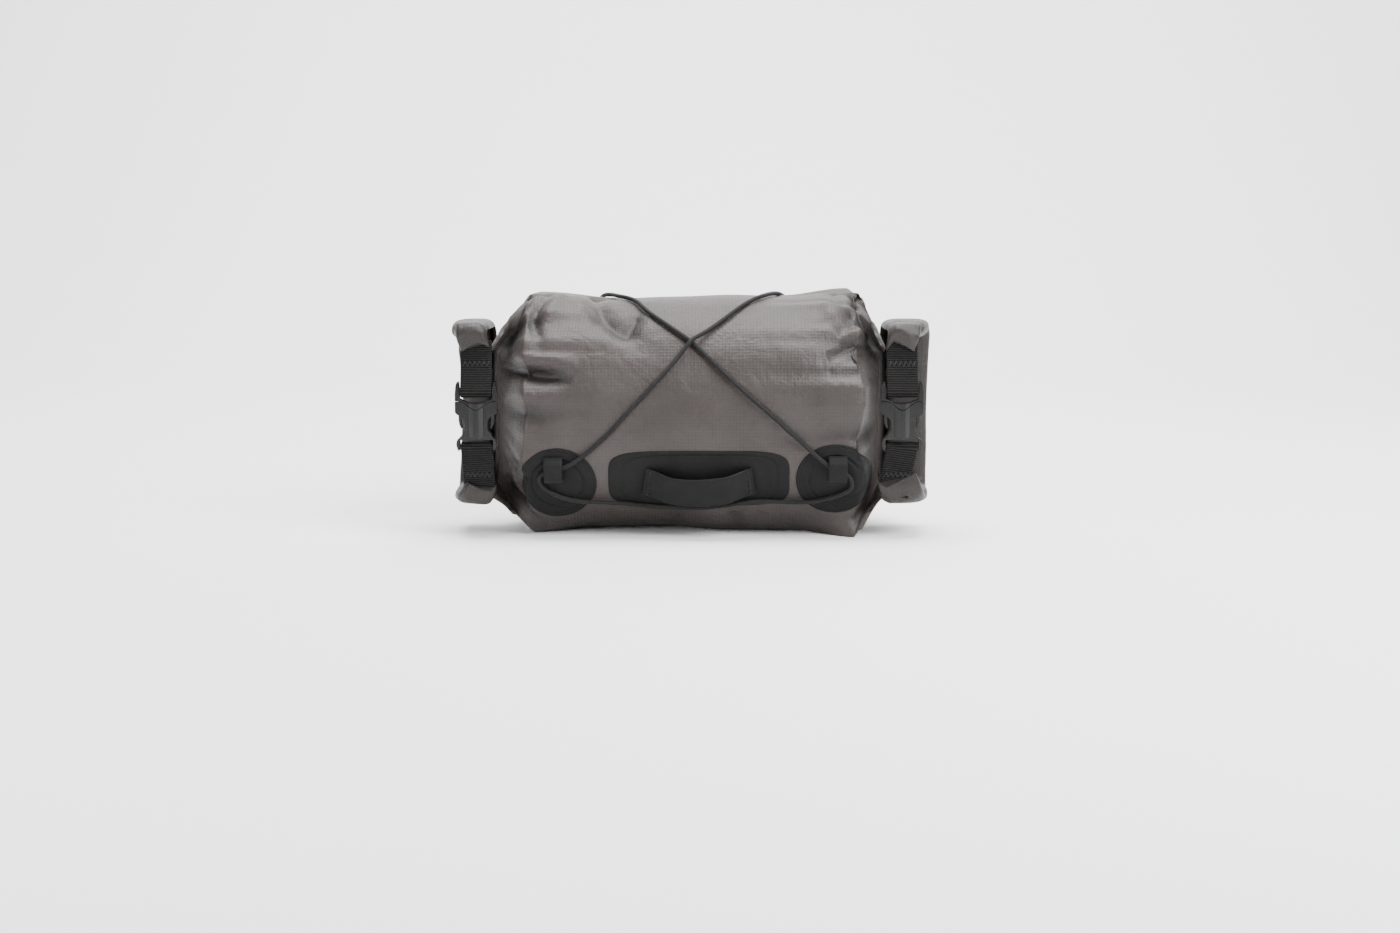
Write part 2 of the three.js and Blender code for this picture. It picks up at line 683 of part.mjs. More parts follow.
// Closure webbing: it leaves a pocket in the roll's tip, wraps a buckle bar and is sewn back on itself
function webPath(end, isUpper) {
  const up = isUpper ? 1 : -1;
  const barEdge = (BUCKLE_HEIGHT / 2) * (isUpper ? MALE_BAR_SHARE : FEMALE_BAR_SHARE);
  const barZ = AXIS_HEIGHT + BUCKLE_Z + barEdge + up * BUCKLE_BAR / 2;
  const tipZ = isUpper ? TIP_TOP_Z : TIP_BOTTOM_Z;
  const wrap = BUCKLE_BAR * Math.SQRT1_2 + GAP + WEB_THICKNESS / 2;
  const path = [new THREE.Vector3(end.webX, ROLL_FRONT_Y, tipZ + up * WEB_POCKET)];
  path.push(new THREE.Vector3(end.webX, ROLL_FRONT_Y, tipZ - up * GAP));
  for (let k = 0; k <= WRAP_STEPS; k += 1) {
    const a = Math.PI + (k / WRAP_STEPS) * Math.PI;
    path.push(new THREE.Vector3(end.webX, BUCKLE_Y + wrap * Math.cos(a), barZ + up * wrap * Math.sin(a)));
  }
  path.push(new THREE.Vector3(end.webX, ROLL_FRONT_Y + WEB_THICKNESS + GAP, tipZ - up * WEB_TACK));
  if (!isUpper) {
    const drop = path[2].z - path[0].z;
    path.forEach((p) => p.setX(p.x - end.sign * end.slant * clamp01((path[2].z - p.z) / drop)));
  }
  return path;
}

function webGeometry(end, isUpper, grow) {
  const profile = bandProfile(WEB_WIDTH + 2 * grow, WEB_THICKNESS + 2 * grow);
  return sweep(webPath(end, isUpper), () => X_AXIS, () => profile);
}

for (const end of ENDS) {
  let roll = toManifold(rollGeometry(end));
  roll = roll.subtract(toManifold(webGeometry(end, true, GAP)));
  roll = roll.subtract(toManifold(webGeometry(end, false, GAP)));
  addPiece(`roll_closure_${end.side}`, fromManifold(roll), coatedCloth);
  addPiece(`closure_web_upper_${end.side}`, webGeometry(end, true, 0), wovenWeb);
  addPiece(`closure_web_lower_${end.side}`, webGeometry(end, false, 0), wovenWeb);
}

// Side-release buckle, drawn in the front view about its own middle: shares of its half width and half height
const HALF_W = BUCKLE_WIDTH / 2;
const HALF_H = BUCKLE_HEIGHT / 2;
const SLOT_HALF = WEB_WIDTH / 2 + 2 * GAP;
const CUT_THROUGH = 4 * BUCKLE_THICKNESS;

// The wavy line where the two halves meet, shifted along Z.
function partingLine(shift) {
  const points = [];
  for (let k = 0; k <= PARTING_STEPS; k += 1) {
    const across = 2 * (k / PARTING_STEPS) - 1;
    const dip = ease(1 - Math.abs(across) / PARTING_REACH);
    points.push([across * HALF_W, HALF_H * (PARTING_SIDE - PARTING_DIP * dip) + shift]);
  }
  return points;
}

function mirrored(rightSide) {
  const leftSide = rightSide.map(([x, z]) => [-x, z]).reverse();
  return [...rightSide, ...leftSide];
}

function scaled(rows) {
  return rows.map(([x, z]) => [x * HALF_W, z * HALF_H]);
}

// Outlines from the parting line outwards, right side only: [share of half width, share of half height]
const MALE_SIDE = [[1.00, 0.62], [0.97, 0.86], [0.90, 0.98], [0.83, 0.98], [0.80, 0.80]];
const FEMALE_SIDE = [
  [1.00, 0.12], [0.93, 0.06], [0.68, -0.02], [0.55, -0.12], [0.52, -0.24], [0.55, -0.38],
  [0.72, -0.55], [0.93, -0.68], [0.96, -0.80], [0.90, -0.94], [0.83, -0.99], [0.80, -0.96],
];
const FINGER = [
  [0.62, 0.46], [0.80, 0.46], [0.84, 0.10], [0.85, -0.08], [0.82, -0.22], [0.73, -0.35],
  [0.66, -0.33], [0.70, -0.18], [0.70, -0.04], [0.62, 0.10],
];

function malePlate() {
  const line = partingLine(PARTING_GAP / 2);
  const outline = [...line, ...mirrored(scaled(MALE_SIDE))];
  return frontPrism(outline, BUCKLE_THICKNESS, 0);
}

function barrel(lowZ, highZ) {
  const shape = new THREE.Shape();
  shape.absellipse(0, 0, BARREL_WIDTH / 2, BUCKLE_THICKNESS / 2 + BARREL_BULGE, 0, 2 * Math.PI);
  const settings = { depth: highZ - lowZ, bevelEnabled: false, curveSegments: CURVE_SEGMENTS };
  const geometry = new THREE.ExtrudeGeometry(shape, settings);
  geometry.translate(0, 0, lowZ);
  return toManifold(geometry);
}

// Everything on one side of the parting line, as a cutter.
function partingSide(isAbove, shift) {
  const far = isAbove ? 2 * HALF_H : -2 * HALF_H;
  const line = partingLine(shift);
  const wide = 2 * HALF_W;
  const low = line[0][1];
  return frontPrism([[-wide, low], ...line, [wide, low], [wide, far], [-wide, far]], CUT_THROUGH, 0);
}

function maleBuckle() {
  const slotTop = HALF_H * MALE_BAR_SHARE;
  const slotLow = HALF_H * MALE_SLOT_LOW_SHARE;
  const slotSide = HALF_H * MALE_SLOT_SIDE_SHARE;
  const slotCurve = slotLow + MALE_SLOT_CURVE;
  const slot = [
    [-SLOT_HALF, slotTop], [-SLOT_HALF, slotSide], [-SLOT_HALF / 2, slotCurve], [0, slotLow],
    [SLOT_HALF / 2, slotCurve], [SLOT_HALF, slotSide], [SLOT_HALF, slotTop],
  ];
  let solid = malePlate().add(barrel(0, slotSide).subtract(partingSide(false, PARTING_GAP / 2)));
  solid = solid.subtract(frontPrism(slot, CUT_THROUGH, 0));
  solid = solid.subtract(barRelief(1));
  const fingerSolid = frontPrism(scaled(FINGER), FINGER_THICKNESS, 0);
  const mirroredFinger = frontPrism(scaled(FINGER).map(([x, z]) => [-x, z]).reverse(), FINGER_THICKNESS, 0);
  const tongueHeight = HALF_H * (TONGUE_TOP_SHARE - TONGUE_LOW_SHARE);
  const tongueMiddle = HALF_H * (TONGUE_TOP_SHARE + TONGUE_LOW_SHARE) / 2;
  const tongue = block(TONGUE_WIDTH, FINGER_THICKNESS, tongueHeight, 0, 0, tongueMiddle);
  return solid.add(fingerSolid).add(mirroredFinger).add(tongue);
}

// Thins the crossbar so that the webbing can wrap it: up is 1 for the upper bar and -1 for the lower.
function barRelief(up) {
  const height = HALF_H;
  const start = up > 0 ? HALF_H * RELIEF_TOP_SHARE : HALF_H * RELIEF_LOW_SHARE - height;
  const depth = (BUCKLE_THICKNESS - BUCKLE_BAR) / 2 + 1;
  const away = BUCKLE_BAR / 2 + depth / 2;
  const middle = start + height / 2;
  const front = block(2 * SLOT_HALF, depth, height, 0, -away, middle);
  return front.add(block(2 * SLOT_HALF, depth, height, 0, away, middle));
}

function femaleBuckle() {
  const line = partingLine(-PARTING_GAP / 2).reverse();
  let solid = frontPrism([...line, ...mirrored(scaled(FEMALE_SIDE)).reverse()], BUCKLE_THICKNESS, 0);
  const tube = barrel(HALF_H * BARREL_LOW_SHARE, HALF_H * BARREL_TOP_SHARE);
  solid = solid.add(tube.subtract(partingSide(true, -PARTING_GAP / 2)));
  const slotTop = HALF_H * FEMALE_SLOT_TOP_SHARE;
  const slotLow = HALF_H * FEMALE_BAR_SHARE;
  const slotMiddle = (slotTop + slotLow) / 2;
  solid = solid.subtract(block(2 * SLOT_HALF, CUT_THROUGH, slotTop - slotLow, 0, 0, slotMiddle));
  solid = solid.subtract(barRelief(-1));
  const pocketDepth = FINGER_THICKNESS + 2 * GAP;
  const pocketTop = HALF_H;
  const pocketLow = HALF_H * POCKET_LOW_SHARE;
  const pocketHalf = HALF_W * POCKET_SIDE_SHARE + GAP;
  const pocketMiddle = (pocketTop + pocketLow) / 2;
  solid = solid.subtract(block(2 * pocketHalf, pocketDepth, pocketTop - pocketLow, 0, 0, pocketMiddle));
  const channelLow = HALF_H * TONGUE_LOW_SHARE - GAP;
  const channelHeight = pocketTop - channelLow;
  const channelMiddle = (pocketTop + channelLow) / 2;
  const channel = block(TONGUE_WIDTH + 2 * GAP, pocketDepth, channelHeight, 0, 0, channelMiddle);
  return solid.subtract(channel);
}

for (const end of ENDS) {
  const place = [end.webX, BUCKLE_Y, AXIS_HEIGHT + BUCKLE_Z];
  addPiece(`buckle_male_${end.side}`, fromManifold(maleBuckle().translate(place)), mouldedBlack);
  addPiece(`buckle_female_${end.side}`, fromManifold(femaleBuckle().translate(place)), mouldedBlack);
}

// Bands that stand off the front like a low bridge: the run goes along X or Z, and rises from tab to middle
const ON_PATCH = LIE_GAP + PATCH_THICKNESS + LIE_GAP + LOOP_THICKNESS / 2;

function bridgeBand(band) {
  const path = [];
  const across = [];
  for (let k = 0; k <= band.steps; k += 1) {
    const t = k / band.steps;
    const off = (t - 0.5) * band.length;
    const x = band.x + (band.alongX ? off : 0);
    const z = band.z + (band.alongX ? -band.droop * Math.sin(Math.PI * t) : off);
    const rise = ease(Math.min(t, 1 - t) / band.shoulder);
    const angle = angleAtHeight(x, z);
    path.push(overBody(x, angle, ON_PATCH + band.bow + (band.lift - ON_PATCH) * rise));
    const upward = bodyPoint(x, angle + BAND_TILT_STEP).sub(bodyPoint(x, angle - BAND_TILT_STEP));
    across.push(band.alongX ? upward : X_AXIS);
  }
  const [w, t] = [band.width / 2, LOOP_THICKNESS / 2];
  const sign = band.alongX ? 1 : -1;
  const profile = [[-w, -t - sign * band.bow], [0, -t], [w, -t - sign * band.bow]];
  profile.push([w, t - sign * band.bow], [0, t], [-w, t - sign * band.bow]);
  return sweep(path, (i) => across[i], () => profile);
}

const gearLoop = {
  ...BASE, z: BASE.z + GEAR_LOOP_RAISE, alongX: true, length: GEAR_LOOP_LENGTH, width: GEAR_LOOP_HEIGHT,
  lift: GEAR_LOOP_LIFT, droop: GEAR_LOOP_DROOP, shoulder: 0.28, bow: 0.8, steps: 14,
};
addPiece('gear_loop', bridgeBand(gearLoop), bondedPatch);

const CORD_LOOPS = [
  { side: 'left', ...placeAt(-0.6899, -0.3919) },
  { side: 'right', ...placeAt(0.7551, -0.3784) },
];
for (const loop of CORD_LOOPS) {
  const band = {
    x: loop.x, z: loop.z, alongX: false, length: CORD_LOOP_HEIGHT, width: CORD_LOOP_WIDTH,
    lift: CORD_LOOP_LIFT, droop: 0, shoulder: 0.3, bow: 0, steps: 12,
  };
  addPiece(`cord_loop_${loop.side}`, bridgeBand(band), bondedPatch);
}

// Straps round the handlebar: a tail on the cloth, a turn round the back of the bar, and a tail below it
function barStrapPath(x) {
  const lift = BAR_STRAP_THICKNESS / 2;
  const ring = BAR_DIAMETER / 2 + GAP + BAR_STRAP_THICKNESS / 2;
  const path = [];
  const angleBetween = ([from, to], t) => THREE.MathUtils.degToRad(from + (to - from) * t);
  const addTail = (span) => {
    for (let k = 0; k <= TAIL_STEPS; k += 1) {
      path.push(overBody(x, angleBetween(span, k / TAIL_STEPS), lift));
    }
  };
  addTail(TAIL_TOP);
  for (let k = 0; k <= TURN_STEPS; k += 1) {
    const a = angleBetween(STRAP_TURN, k / TURN_STEPS);
    path.push(new THREE.Vector3(x, BAR_Y + ring * Math.cos(a), AXIS_HEIGHT + BAR_Z + ring * Math.sin(a)));
  }
  addTail(TAIL_LOW);
  return path;
}

for (const end of ENDS) {
  const path = barStrapPath(end.sign * BAR_STRAP_X);
  const profile = bandProfile(BAR_STRAP_WIDTH, BAR_STRAP_THICKNESS);
  layOnBody(`bar_strap_${end.side}`, sweep(path, () => X_AXIS, () => profile), wovenWeb);
}

// Shock cord: one closed loop through the front loops, crossing on the front and running behind the bag.
// Columns: share of the reach, share of the height, lift of the cord's middle above the cloth, face.
const CORD_ROUTE = [
  [-0.3930, 1.0000, 1.9, 'top'],
  [-0.2922, 0.9705, 1.9, 'front'],
  [-0.2240, 0.8859, 1.9, 'front'],
  [-0.1225, 0.7769, 1.9, 'front'],
  [-0.0031, 0.6513, 1.9, 'front'],
  [0.2090, 0.3526, 1.9, 'front'],
  [0.3747, 0.1244, 1.9, 'front'],
  [0.5461, -0.1162, 2.4, 'front'],
  [0.6612, -0.2838, 3.3, 'front'],
  [0.7429, -0.3784, 3.3, 'front'],
  [0.8147, -0.4189, 3.3, 'front'],
  [0.8327, -0.5135, 3.3, 'front'],
  [0.7633, -0.5946, 3.3, 'front'],
  [0.6416, -0.6541, 3.3, 'front'],
  [0.5224, -0.6676, 3.3, 'front'],
  [0.3167, -0.6703, 3.3, 'front'],
  [0.1437, -0.6959, 3.3, 'front'],
  [-0.0124, -0.7108, 3.3, 'front'],
  [-0.1589, -0.7081, 3.3, 'front'],
  [-0.2636, -0.6905, 3.3, 'front'],
  [-0.4380, -0.6730, 3.3, 'front'],
  [-0.5372, -0.6676, 3.3, 'front'],
  [-0.6512, -0.6270, 3.3, 'front'],
  [-0.7403, -0.5405, 3.3, 'front'],
  [-0.7636, -0.4459, 3.3, 'front'],
  [-0.7093, -0.3919, 3.3, 'front'],
  [-0.6248, -0.3514, 3.3, 'front'],
  [-0.5403, -0.2595, 2.8, 'front'],
  [-0.4411, -0.1149, 1.9, 'front'],
  [-0.2829, 0.1641, 1.9, 'front'],
  [-0.1209, 0.4462, 1.9, 'front'],
  [-0.0543, 0.5667, 2.9, 'front'],
  [-0.0031, 0.6538, 5.0, 'front'],
  [0.0490, 0.7090, 2.9, 'front'],
  [0.1061, 0.7692, 1.9, 'front'],
  [0.2122, 0.8731, 1.9, 'front'],
  [0.3535, 0.9808, 1.9, 'front'],
  [0.4245, 1.0000, 1.9, 'top'],
  [0.4735, 0.9872, 1.9, 'back'],
  [0.5102, 0.9295, 1.9, 'back'],
  [0.5265, 0.8462, 1.9, 'back'],
  [0.5061, 0.7500, 1.9, 'back'],
  [0.4490, 0.6987, 1.9, 'back'],
  [0.3592, 0.6859, 1.9, 'back'],
  [0.1633, 0.6731, 1.9, 'back'],
  [-0.1550, 0.6731, 1.9, 'back'],
  [-0.3411, 0.6859, 1.9, 'back'],
  [-0.4264, 0.6987, 1.9, 'back'],
  [-0.4806, 0.7500, 1.9, 'back'],
  [-0.5000, 0.8462, 1.9, 'back'],
  [-0.4845, 0.9295, 1.9, 'back'],
  [-0.4496, 0.9872, 1.9, 'back'],
];

function cordGeometry() {
  const places = CORD_ROUTE.map(([along, up, lift, face]) => {
    const { x, z } = placeAt(along, up);
    return { x, lift, angle: face === 'top' ? TOP : angleAtHeight(x, z, face === 'back') };
  });
  const knots = places.map((place) => new THREE.Vector3(place.x, place.angle * FRONT_DEPTH, place.lift));
  const flat = new THREE.CatmullRomCurve3(knots, true, 'centripetal');
  const steps = Math.round(flat.getLength() / CORD_STEP);
  const path = [];
  const across = [];
  for (let k = 0; k < steps; k += 1) {
    const knot = flat.getPointAt(k / steps);
    const angle = knot.y / FRONT_DEPTH;
    path.push(overBody(knot.x, angle, knot.z));
    across.push(normalOf(smoothBody, knot.x, angle));
  }
  const profile = [];
  for (let j = 0; j < CORD_SIDES; j += 1) {
    const a = (j / CORD_SIDES) * 2 * Math.PI;
    profile.push([CORD_DIAMETER / 2 * Math.cos(a), CORD_DIAMETER / 2 * Math.sin(a)]);
  }
  return sweep(path, (i) => across[i], () => profile, true);
}

addPiece('shock_cord', cordGeometry(), cordSheath);

export default group;
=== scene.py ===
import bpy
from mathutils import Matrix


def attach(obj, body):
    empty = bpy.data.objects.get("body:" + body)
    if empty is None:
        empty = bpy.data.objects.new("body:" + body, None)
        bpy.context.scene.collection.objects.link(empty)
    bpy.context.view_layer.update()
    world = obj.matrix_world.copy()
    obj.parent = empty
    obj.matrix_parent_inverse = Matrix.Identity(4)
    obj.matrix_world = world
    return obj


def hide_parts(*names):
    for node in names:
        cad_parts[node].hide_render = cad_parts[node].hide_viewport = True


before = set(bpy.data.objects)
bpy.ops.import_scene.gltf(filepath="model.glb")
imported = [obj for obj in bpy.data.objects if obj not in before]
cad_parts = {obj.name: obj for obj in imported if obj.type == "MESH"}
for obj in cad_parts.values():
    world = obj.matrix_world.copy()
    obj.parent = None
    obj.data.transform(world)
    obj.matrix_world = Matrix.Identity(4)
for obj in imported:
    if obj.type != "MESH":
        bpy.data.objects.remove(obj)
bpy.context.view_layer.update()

import math

import bmesh
import bpy
import numpy as np
from bpy.props import FloatProperty, FloatVectorProperty, IntProperty, PointerProperty

bl_info = {
    "name": "Handlebar bag",
    "version": (1, 0, 0),
    "blender": (4, 5, 0),
    "location": "3D View > Sidebar > Handlebar bag",
    "description": "Dresses a rolled-end handlebar bag: cloth, webbing, buckles, patches and cord",
    "category": "Mesh",
}

# Sizes in millimetres, as the solids have them. Angles run round the bag from its front, TOP is its top line.
TOP = math.pi / 2
REACH_LEFT = 129.0
REACH_RIGHT = 122.5
AXIS_HEIGHT = 74.0
TOP_RISE = 78.0
FRONT_DEPTH = 72.0
BACK_DEPTH = 73.0
BACK_SAG = 78.0
SQUARENESS = 2.25
RIDGE_SHARPNESS = 6
EAR_X = 109.3
FOOT_X = 102.0
FRONT_SHOULDER_X = 107.0
BACK_SHOULDER_X = 76.0
SHOULDER_ROUNDING = 0.8
CLOSING_BULGE = 0.35
MOUTH_HALF_HEIGHT = 47.0
MOUTH_BACK_Y = -8.0
MOUTH_FRONT_Y = -60.0
MOUTH_CORNER = 12.0
MOUTH_OPENING = 6.4
MOUTH_FOLD = 0.6
MOUTH_TAPER = 6.0
MOUTH_TAPER_START = 0.5
MOUTH_TIP = 0.02
GAP = 0.3
FOLD_FADE = 0.8
FRONT_LYING = 3.0
BACK_LYING = 6.0
GATHER_COUNT = 9
GATHER_DEPTH = 1.6
GATHER_REACH = 14.0

# Columns: place as a share of the reach, rise of the top, sag of the bottom, forward shift of the bottom and top lines.
SECTIONS = np.array([
    (-0.85, 1.042, 1.020, 0.36, 0.12),
    (-0.47, 0.990, 1.008, 0.04, 0.00),
    (-0.12, 1.000, 1.003, 0.00, 0.00),
    (0.22, 1.004, 1.050, 0.06, 0.00),
    (0.55, 0.995, 1.050, 0.10, 0.00),
    (0.85, 1.042, 1.040, 0.66, 0.12),
])

# Broad folds. Columns: 1 for the front or -1 for the back, x and height at the start, the same at the end, width, depth,
# as shares of the reach and of the axis height.
FOLDS = [
    (1, -0.98, 0.50, -0.62, 0.36, 0.070, 0.070),
    (1, -0.79, 0.88, -0.76, 0.60, 0.060, 0.040),
    (1, -0.46, 0.86, -0.20, 0.62, 0.110, 0.050),
    (1, -0.98, -0.42, -0.78, -0.50, 0.060, 0.050),
    (1, -0.96, -0.62, -0.74, -0.90, 0.060, 0.050),
    (1, 0.98, 0.60, 0.64, 0.54, 0.085, 0.085),
    (1, 0.84, 0.88, 0.74, 0.74, 0.060, 0.050),
    (1, 0.98, -0.06, 0.80, -0.30, 0.080, 0.045),
    (1, 0.20, -0.98, 0.28, -0.70, 0.080, 0.040),
    (-1, -0.98, 0.30, -0.50, 0.20, 0.090, 0.080),
    (-1, 0.98, -0.20, 0.52, -0.10, 0.090, 0.080),
    (-1, 0.96, 0.52, 0.60, 0.62, 0.080, 0.060),
]

# Creases finer than the solids have. Columns: face, x and height at the start, the same at the end, width, depth,
# height of the lip that stands beside the crease on its left as one looks from start to end, all in millimetres.
CREASES = [
    (1, -127, 41, -101, 84, 4.6, 8.4, 2.0),
    (1, -127, 39, -78, 25, 4.2, 5.8, 2.4),
    (1, -124, 47, -110, 50, 2.6, 2.4, 0.9),
    (1, -90, 78, -104, 60, 3.8, 2.6, 1.0),
    (1, -34, 66, -43, 53, 5.0, 3.2, 0.8),
    (1, -66, 76, -41, 54, 4.6, 2.6, -1.0),
    (1, -124, 14, -90, 4, 5.0, 2.0, 1.0),
    (1, -125, -6, -98, -13, 4.4, 2.0, 0.9),
    (1, -125, -18, -104, -37, 3.6, 4.8, 2.0),
    (1, -127, -30, -115, -43, 2.4, 3.0, -1.2),
    (1, -121, -42, -94, -67, 3.4, 4.8, 1.8),
    (1, -114, -46, -86, -62, 2.6, 2.4, -1.2),
    (1, -104, -50, -72, -64, 3.0, 1.6, 0.9),
    (1, 121, 45, 102, 84, 4.4, 8.4, -2.0),
    (1, 121, 52, 84, 42, 4.0, 5.6, 2.4),
    (1, 120, 45, 84, 33, 3.4, 2.2, -1.2),
    (1, 113, 61, 94, 54, 2.6, 2.4, 1.2),
    (1, 92, 74, 107, 64, 3.4, 2.6, -1.2),
    (1, 121, -6, 98, -13, 3.4, 3.0, 1.4),
    (1, 121, -18, 102, -25, 3.6, 2.4, 1.6),
    (1, 104, -70, 114, -45, 3.6, 4.6, -1.8),
    (1, 118, -44, 104, -54, 2.6, 2.2, 1.0),
    (1, 26, -51, 34, -69, 3.6, 2.6, 1.2),
    (1, 44, -58, 60, -67, 3.6, 1.8, 0.9),
    (1, -12, -60, 4, -68, 3.6, 1.2, 0.6),
    (-1, -112, 62, -60, 42, 4.0, 3.2, 1.5),
    (-1, -118, -14, -68, -22, 4.0, 3.0, 1.3),
    (-1, -104, -46, -58, -58, 4.2, 2.8, 1.2),
    (-1, 112, 20, 58, 13, 4.0, 3.2, 1.5),
    (-1, 106, -48, 60, -38, 4.0, 2.8, 1.2),
    (-1, 108, 64, 66, 56, 4.0, 2.6, 1.2),
    (-1, -30, 46, 6, 38, 6.0, 1.4, 0.6),
]

# Pleats that run out of each mouth. Columns: folds all round, depth in millimetres, phase.
PLEATS = [(13, 1.5, 0.6), (23, 0.9, 2.1), (37, 0.4, 4.0)]
PLEAT_REACH = 19.0
CREASE_TURN = np.array([0.15, 1.0, 1.0])

# Bonded patches on the front. Columns: x and height of the middle, width, height, power of the superellipse.
PATCHES = [(-86.5, -38.0, 50.0, 46.0, 2), (91.0, -35.5, 50.0, 46.0, 2), (4.0, -35.6, 116.0, 38.0, 5)]


def unit(vectors):
    """Each vector divided by its length."""
    return vectors / np.maximum(np.linalg.norm(vectors, axis=-1, keepdims=True), 1e-12)


def ease(value):
    """Smooth step: 3t^2 - 2t^3 of the value held between 0 and 1."""
    t = np.clip(value, 0.0, 1.0)
    return t * t * (3.0 - 2.0 * t)


def signed_power(value, power):
    """The value's size raised to a power, with its sign kept."""
    return np.sign(value) * np.abs(value) ** power


def bump(value):
    """Bell curve exp(-v^2)."""
    return np.exp(-value * value)


def reach_at(x):
    """How far the body reaches from its middle on the side where x lies."""
    return np.where(x < 0, REACH_LEFT, REACH_RIGHT)


def section_at(x):
    """Rise, sag, foot and lean of the section table at x, eased from row to row."""
    share = x / reach_at(x)
    row = np.searchsorted(SECTIONS[1:-1, 0], share)
    low, high = SECTIONS[row], SECTIONS[row + 1]
    t = ease((share - low[..., 0]) / (high[..., 0] - low[..., 0]))[..., None]
    return np.moveaxis((low + (high - low) * t)[..., 1:], -1, 0)


def full_section(x, angle):
    """Superellipse round the axis: cosine and sine raised to 2/SQUARENESS, scaled by depth and height, cut flat where it
    rests; the top and bottom lines are shifted forward by their share times |sin|^6."""
    rise, sag, foot, lean = section_at(x)
    across = signed_power(np.cos(angle), 2 / SQUARENESS)
    up = signed_power(np.sin(angle), 2 / SQUARENESS)
    ridge = np.abs(np.sin(angle)) ** RIDGE_SHARPNESS
    depth = np.where(across > 0, FRONT_DEPTH, BACK_DEPTH)
    low = np.where(across > 0, AXIS_HEIGHT * sag, BACK_SAG)
    height = np.where(up > 0, TOP_RISE * (1 + (rise - 1) * ridge), low)
    shift = np.where(up > 0, lean, foot)
    return -across * depth - shift * FRONT_DEPTH * ridge, np.maximum(-AXIS_HEIGHT, up * height)


def lying_u(share):
    """A round-cornered U that lies on its side, followed from its top tip by a share of its length: y, z and the outward
    direction there."""
    arm = MOUTH_BACK_Y - MOUTH_FRONT_Y - MOUTH_CORNER
    turn = MOUTH_CORNER * TOP
    wall = 2 * MOUTH_HALF_HEIGHT - 2 * MOUTH_CORNER
    run = share * (2 * arm + 2 * turn + wall)
    low_turn = arm + turn + wall
    inner = MOUTH_BACK_Y - MOUTH_CORNER
    middle = MOUTH_HALF_HEIGHT - MOUTH_CORNER
    first = TOP - (run - arm) / MOUTH_CORNER
    second = -(run - low_turn) / MOUTH_CORNER
    where = [run <= arm, run <= arm + turn, run <= low_turn, run <= low_turn + turn]
    y = np.select(where, [
        MOUTH_FRONT_Y + run,
        inner + MOUTH_CORNER * np.cos(first),
        np.full_like(run, MOUTH_BACK_Y),
        inner + MOUTH_CORNER * np.cos(second),
    ], inner - (run - low_turn - turn))
    z = np.select(where, [
        np.full_like(run, MOUTH_HALF_HEIGHT),
        middle + MOUTH_CORNER * np.sin(first),
        middle - (run - arm - turn),
        -middle + MOUTH_CORNER * np.sin(second),
    ], np.full_like(run, -MOUTH_HALF_HEIGHT))
    zero, one = np.zeros_like(run), np.ones_like(run)
    out_y = np.select(where, [zero, np.cos(first), one, np.cos(second)], zero)
    out_z = np.select(where, [one, np.sin(first), zero, np.sin(second)], -one)
    return y, z, out_y, out_z


def mouth_point(angle, cloth):
    """The mouth's outline: the back half of the section follows the outside of the U and the front half its inside, half
    the opening apart, rounded off where the two meet at the tips."""
    turned = np.mod(angle - TOP, 2 * math.pi)
    is_back = turned <= math.pi
    share = np.where(is_back, turned / math.pi, 2 - turned / math.pi)
    y, z, out_y, out_z = lying_u(share)
    widen = ease(MOUTH_TAPER * share * (1 - share) - MOUTH_TAPER_START)
    tip = np.clip(np.minimum(share, 1 - share) / MOUTH_TIP, 0, 1)
    half = (cloth + (MOUTH_FOLD + (MOUTH_OPENING - MOUTH_FOLD) * widen) / 2) * np.sqrt(tip * (2 - tip))
    side = np.where(is_back, half, -half)
    return y + out_y * side, z + out_z * side


def closing(x, angle):
    """0 on the full body and 1 at the mouth: the share of the way from the shoulder to the reach, raised to a power that
    makes the faces bulge more than the edges."""
    reach = reach_at(x)
    c = np.abs(np.cos(angle))
    edge = np.where(np.sin(angle) > 0, EAR_X, FOOT_X)
    face = np.where(np.cos(angle) > 0, FRONT_SHOULDER_X, BACK_SHOULDER_X)
    shoulder = edge + (face - edge) * c ** SHOULDER_ROUNDING
    return np.clip((np.abs(x) - shoulder) / (reach - shoulder), 0, 1) ** (1 + CLOSING_BULGE * c)


def smooth_body(x, angle):
    """The body without folds: the full section moved towards the mouth's outline by how far it has closed."""
    full_y, full_z = full_section(x, angle)
    mouth_y, mouth_z = mouth_point(angle, 1.5)
    w = closing(x, angle)
    y = full_y + (mouth_y - full_y) * w
    return np.stack(np.broadcast_arrays(x, y, AXIS_HEIGHT + full_z + (mouth_z - full_z) * w), -1)


def body_normal(x, angle, step=2.5):
    """Outward normal, softened over the shoulders: the cross product of steps along the bag and round it."""
    after, before = np.minimum(x + step, REACH_RIGHT - 0.3), np.maximum(x - step, -REACH_LEFT + 0.3)
    along = smooth_body(after, angle) - smooth_body(before, angle)
    around = smooth_body(x, angle + 0.03) - smooth_body(x, angle - 0.03)
    return unit(np.cross(along, around))


